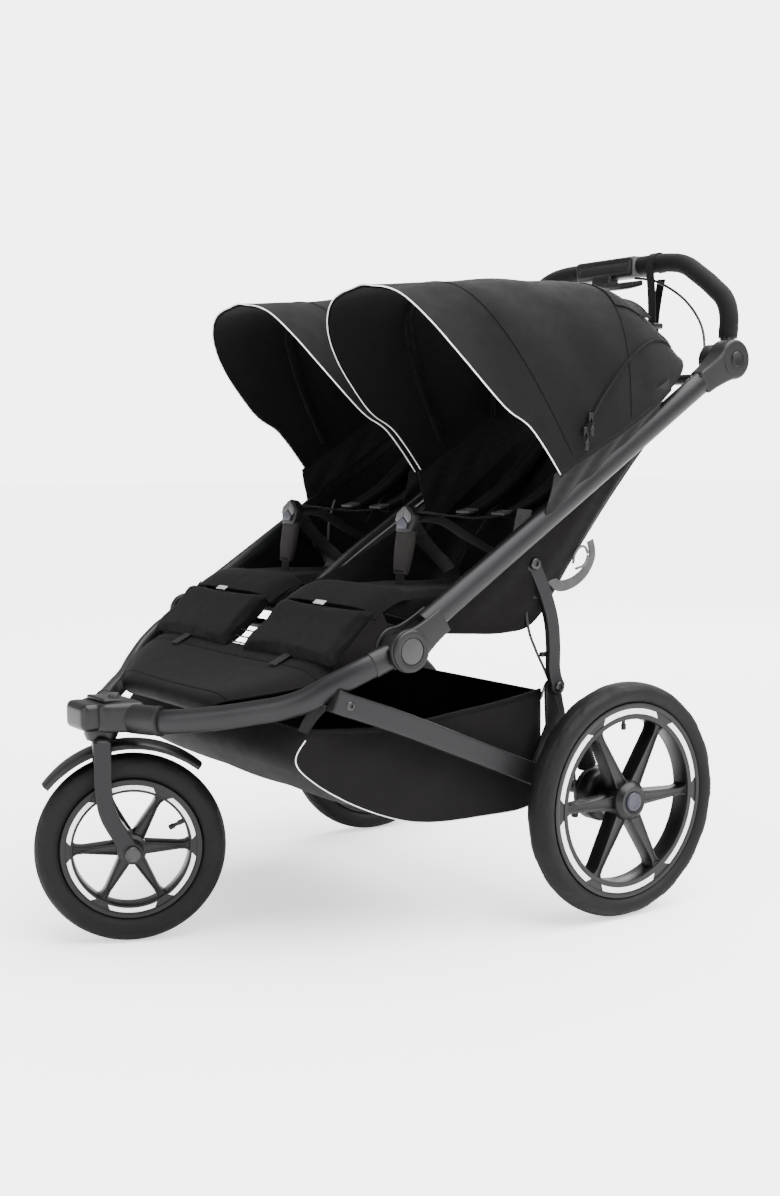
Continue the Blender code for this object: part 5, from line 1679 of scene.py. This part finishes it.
tray = cloth_sheet("footwell_panel", 44, 40, footwell_place)
apply_modifier(tray, "SOLIDIFY", thickness=0.0022, offset=0)
finished(closed_up(tray), "front_frame", POD, ["footwell_tray"], angle=60)
for number, share in enumerate((0.0, 0.105, 0.52)):
    hem = bar(f"footwell_seam_{number}",
              [footwell_place(0.01 + 0.98 * i / 24, share, 0.0012) for i in range(25)],
              0.0030, 0.0026, twist="MINIMUM", sides=4, detail=3)
    finished(hem, "front_frame", EDGING)
for side, sign in SIDES.items():
    edge = bar(f"footwell_edge_{side}", [footwell_place(0.5 + sign * 0.498, i / 20) for i in range(21)],
               0.0036, 0.0036, twist="MINIMUM", sides=4, detail=3)
    finished(edge, "front_frame", EDGING)
    loop = [(0.166, -0.524, 0.470), (0.166, -0.536, 0.4655), (0.166, -0.552, 0.4575), (0.166, -0.566, 0.451)]
    strap(f"leg_pad_loop_{side}", [at(sign * x, y, z) for x, y, z in loop], 0.021, 0.0018, (0, -0.4, 1),
          WEBBING, "front_frame")


# %% Gussets beside the leg pads and lacing between them
def pad_height(y):
    """Height of the leg pads' underside at y."""
    return 0.452 + 0.976 * (y + 0.540)


def gusset_place(across, share, sign):
    """Cloth that closes the gap between a leg pad and the front tube."""
    y = -0.532 + 0.088 * across
    edge = Vector((0.290, y, pad_height(y)))
    tube_x, _, tube_height = along(FRONT_ROUTE[4:], min(1.0, across * 1.1))
    foot = Vector((tube_x - 0.006, y, tube_height + 0.014 + 0.04 * max(0.0, across - 0.75)))
    here = edge.lerp(foot, share)
    return at(sign * here.x, here.y, here.z - 0.004 * math.sin(math.pi * share))


for side, sign in SIDES.items():
    gusset = cloth_sheet(f"leg_gusset_{side}", 24, 8, lambda a, b: gusset_place(a, b, sign))
    apply_modifier(gusset, "SOLIDIFY", thickness=0.0016, offset=0)
    finished(closed_up(gusset), "upper_frame", POD, angle=60)
for number, y in enumerate((-0.534, -0.526, -0.517, -0.507)):
    rung = bar(f"pad_lacing_{number}", [at(-0.034, y, pad_height(y)), at(0.034, y, pad_height(y))],
               0.0036, 0.0026, sides=4, detail=2)
    finished(rung, "upper_frame", WEBBING)
print("gussets closed")

# %% [markdown]
# ## Basket
# The basket is a sewn tub of cloth under the seats. It has two side panels and one long belly that
# makes its front, floor and back, and a white piping is caught in the seam between them.
# A sewn tub is built from its cut pieces, so each panel is its own sheet with a little slack.

# %% Basket panels
BELLY = [(-0.572, 0.362), (-0.600, 0.322), (-0.567, 0.284), (-0.494, 0.240), (-0.411, 0.206), (-0.337, 0.191),
         (-0.235, 0.188), (-0.150, 0.190), (-0.120, 0.212), (-0.116, 0.290), (-0.116, 0.384)]
BASKET_RIM = [(-0.572, 0.362), (-0.520, 0.360), (-0.470, 0.358), (-0.427, 0.358), (-0.380, 0.361),
              (-0.330, 0.365),
              (-0.280, 0.370), (-0.235, 0.373), (-0.190, 0.377), (-0.150, 0.381), (-0.116, 0.385)]
BASKET_HALF = 0.290


def basket_finished(piece, finish, replaces=()):
    """Gives a basket piece its finish and smooth shading, hides the CAD parts that it replaces and moves its
    place into its mesh.
    """
    only(piece)
    piece.data.materials.clear()
    piece.data.materials.append(finish)
    bpy.ops.object.shade_smooth_by_angle(angle=math.radians(60))
    if replaces:
        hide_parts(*replaces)
    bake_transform(piece)
    return piece


def rim_line(share, inset=0.0):
    """A place along a basket side's upper edge."""
    low = along([(0, *point) for point in BASKET_RIM], share)
    return Vector((BASKET_HALF - inset, low.y, low.z - 0.006 * math.sin(math.pi * share)))


def side_place(across, share, sign):
    """A place on a side panel: across runs from front to back, share from its hem to its seam."""
    high, low = rim_line(across), along([(BASKET_HALF, *point) for point in BELLY], across)
    here = high.lerp(low, share)
    slack = math.sin(math.pi * across) ** 0.7
    fold = 0.0022 * math.sin(25 * across + 5 * share) + 0.0014 * math.sin(11 * across - 8 * share + 1)
    here.x += slack * (0.009 * math.sin(math.pi * share) + fold * (1 - share) ** 0.5 * share * 2)
    return at(sign * here.x, here.y, here.z)


def belly_place(across, share):
    """A place on the belly: share runs from the front hem, down and under, to the rear hem."""
    low = along([(0, *point) for point in BELLY], share)
    side = 2 * across - 1
    sag = 0.010 * (1 - side * side) * math.sin(math.pi * share) ** 1.5
    fold = 0.0016 * math.sin(17 * across + 13 * share) * (1 - side * side) * math.sin(math.pi * share)
    return at(BASKET_HALF * side, low.y, low.z + fold - sag * 0.35)


for side, sign in SIDES.items():
    wall = cloth_sheet(f"basket_side_{side}", 90, 24, lambda a, b: side_place(a, b, sign))
    apply_modifier(wall, "SOLIDIFY", thickness=0.0016, offset=0)
    basket_finished(closed_up(wall), BASKET)
    hem = bar(f"basket_hem_{side}", [at(sign * p.x, p.y, p.z) for p in (rim_line(i / 24) for i in range(25))],
              0.0038, 0.0105, twist="Z_UP", sides=4, detail=3)
    basket_finished(hem, EDGING)
    seam = bar(f"basket_piping_{side}", [side_place(0.035 + 0.93 * i / 40, 1.0, sign) for i in range(41)],
               0.0020, 0.0020, twist="MINIMUM", sides=4, detail=3)
    basket_finished(seam, PIPING)
belly = cloth_sheet("basket_belly", 50, 90, belly_place)
apply_modifier(belly, "SOLIDIFY", thickness=0.0016, offset=0)
basket_finished(closed_up(belly), BASKET, ["basket"])
for label, share in (("front", 0.0), ("rear", 1.0)):
    hem = bar(f"basket_hem_{label}", [belly_place(0.01 + 0.98 * i / 20, share) for i in range(21)],
              0.0038, 0.0038, twist="MINIMUM", sides=4, detail=3)
    basket_finished(hem, EDGING)

# %% Basket straps
for side, sign in SIDES.items():
    hang = [(0.303, -0.549, 0.412), (0.294, -0.560, 0.398), (0.285, -0.572, 0.380), (0.281, -0.580, 0.361)]
    strap(f"basket_strap_{side}", [at(sign * x, y, z) for x, y, z in hang], 0.018, 0.0018, (sign, -0.5, 0.2),
          WEBBING, "front_frame")
    hook = block(f"basket_hook_{side}", at(sign * 0.299, -0.553, 0.407), (0.010, 0.022, 0.011), 0.003, 3)
    finished(hook, "front_frame", HOUSING_DARK)
    tie = [(0.304, -0.118, 0.400), (0.298, -0.117, 0.388), (0.292, -0.116, 0.372)]
    strap(f"basket_tie_{side}", [at(sign * x, y, z) for x, y, z in tie], 0.016, 0.0018, (sign, 0.6, 0.2),
          WEBBING, "rail")
print("basket hung")

# %% [markdown]
# ## Middle tube, cross bars and cable
# A third tube runs up between the seats, and two thin bars tie the sides together.
# The brake cable leaves the handlebar inside the left tube, comes out behind the seat and runs
# down along the strut to the drum, held by a few clips, so it is a soft curve with a real length.

# %% Middle tube and cross bars
MIDDLE_TUBE = [(-0.415, 0.4895), (-0.411, 0.516), (-0.385, 0.547), (-0.136, 0.712), (0.1905, 0.9125)]
middle_tube = bar("middle_tube_bent", [at(0, y, z) for y, z in MIDDLE_TUBE], 0.0145, 0.0165, sides=10,
                  detail=8)
finished(middle_tube, "upper_frame", TUBE, ["middle_tube"])
for name, y, z, reach in (("seat_cross_bar", -0.415, 0.480, 0.3147),
                          ("rear_cross_bar", 0.205, 0.9102, 0.3300)):
    rod = turned(f"{name}_rod", [(0.0080, -reach), (0.0090, -reach + 0.001), (0.0090, reach - 0.001),
                                 (0.0080, reach)],
                 at(0, y, z), sides=32)
    finished(rod, "upper_frame", TUBE, [name])
print("cross bars done")


# %% Brake cable and strut cables
def cable(name, route, thick, body, replaces=()):
    """A round cable with a smooth line."""
    piece = bar(name, [at(*point) for point in route], thick, thick, twist="MINIMUM", sides=5, detail=8)
    return finished(piece, body, CABLE, replaces)


cable("brake_cable_run", [(0.322, 0.214, 0.885), (0.3225, 0.150, 0.846), (0.3222, 0.040, 0.774),
                          (0.322, -0.060, 0.709),
                          (0.322, -0.134, 0.6605)], 0.0048, "upper_frame", ["brake_cable"])
for side, sign in SIDES.items():
    run = [(0.307, -0.158, 0.592), (0.3065, -0.157, 0.570), (0.306, -0.163, 0.535), (0.306, -0.158, 0.495),
           (0.306, -0.140, 0.455), (0.3075, -0.124, 0.425), (0.309, -0.113, 0.402)]
    cable(f"strut_cable_{side}", [(sign * x, y, z) for x, y, z in run], 0.0046, f"strut_{side}_link")
    for number, (y, z) in enumerate(((-0.149, 0.548), (-0.128, 0.450))):
        clip = block(f"strut_cable_clip_{side}_{number}", at(sign * 0.3105, y, z), (0.0090, 0.014, 0.008),
                     0.0022, 3)
        finished(clip, f"strut_{side}_link", HOUSING_DARK)
    loop = [(0.309, -0.104, 0.392), (0.309, -0.094, 0.355), (0.304, -0.070, 0.300), (0.300, -0.048, 0.245),
            (0.296, -0.040, 0.205), (0.292, -0.036, 0.176)]
    cable(f"drum_cable_{side}", [(sign * x, y, z) for x, y, z in loop], 0.0046, "rail")
    adjuster = turned(f"drum_adjuster_{side}", [(0.0040, 0.0), (0.0062, 0.001), (0.0062, 0.008),
                                                (0.0045, 0.009),
                                                (0.0045, 0.016), (0.0060, 0.017), (0.0060, 0.022),
                                                (0.0030, 0.023)],
                      at(sign * 0.292, -0.037, 0.158), (0, 0.1, 1), sides=24)
    finished(adjuster, "rail", HOUSING_DARK)
GRIP_CABLE = [(0.072, 0.300, 1.112), (0.128, 0.304, 1.100), (0.200, 0.300, 1.062), (0.262, 0.280, 1.010),
              (0.302, 0.246, 0.955), (0.324, 0.205, 0.914)]
cable_line = [at(*along(GRIP_CABLE, i / 40)) for i in range(41)]
grip_cable = bar("grip_cable", cable_line, 0.0048, 0.0048, twist="MINIMUM", sides=5, detail=2)
only(grip_cable)
grip_cable.data.materials.clear()
grip_cable.data.materials.append(CABLE)
bpy.ops.object.shade_smooth_by_angle(angle=math.radians(60))
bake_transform(grip_cable)
print("cables done")

# %% [markdown]
# ## Small fittings
# Behind each seat's lower corner a grey webbing bracket takes the strap that reclines the back.
# Fasteners come last, because they sit on pieces that have to be in their place first.

# %% Recline brackets and pod snaps
for side, sign in SIDES.items():
    ear = [(-0.108, 0.582), (-0.088, 0.569), (-0.058, 0.573), (-0.030, 0.590), (-0.014, 0.616),
           (-0.019, 0.642)]
    strap(f"recline_bracket_{side}", [at(sign * 0.314, y - 0.012, z - 0.006) for y, z in ear], 0.019,
          0.0026, (sign, 0.3, 0),
          GREY_WEBBING, "upper_frame")
    ring = [(0.318, -0.066, 0.590), (0.318, -0.046, 0.597), (0.318, -0.040, 0.615), (0.318, -0.050, 0.627),
            (0.318, -0.068, 0.615), (0.318, -0.072, 0.599)]
    buckle = bar(f"recline_ring_{side}", [at(sign * x, y, z) for x, y, z in ring], 0.0045, 0.0045, sides=5,
                 detail=5)
    finished(buckle, "upper_frame", BUCKLE_EDGE)
    for number, (y, z) in enumerate(((-0.330, 0.559), (-0.215, 0.633), (-0.095, 0.712))):
        snap = turned(f"pod_snap_{side}_{number}", [(0.0058, 0.0), (0.0058, sign * 0.0012),
                                                    (0.0042, sign * 0.0022)],
                      at(sign * 0.3290, y, z), sides=24)
        finished(snap, "upper_frame", DARK_STEEL)
print("small fittings done")
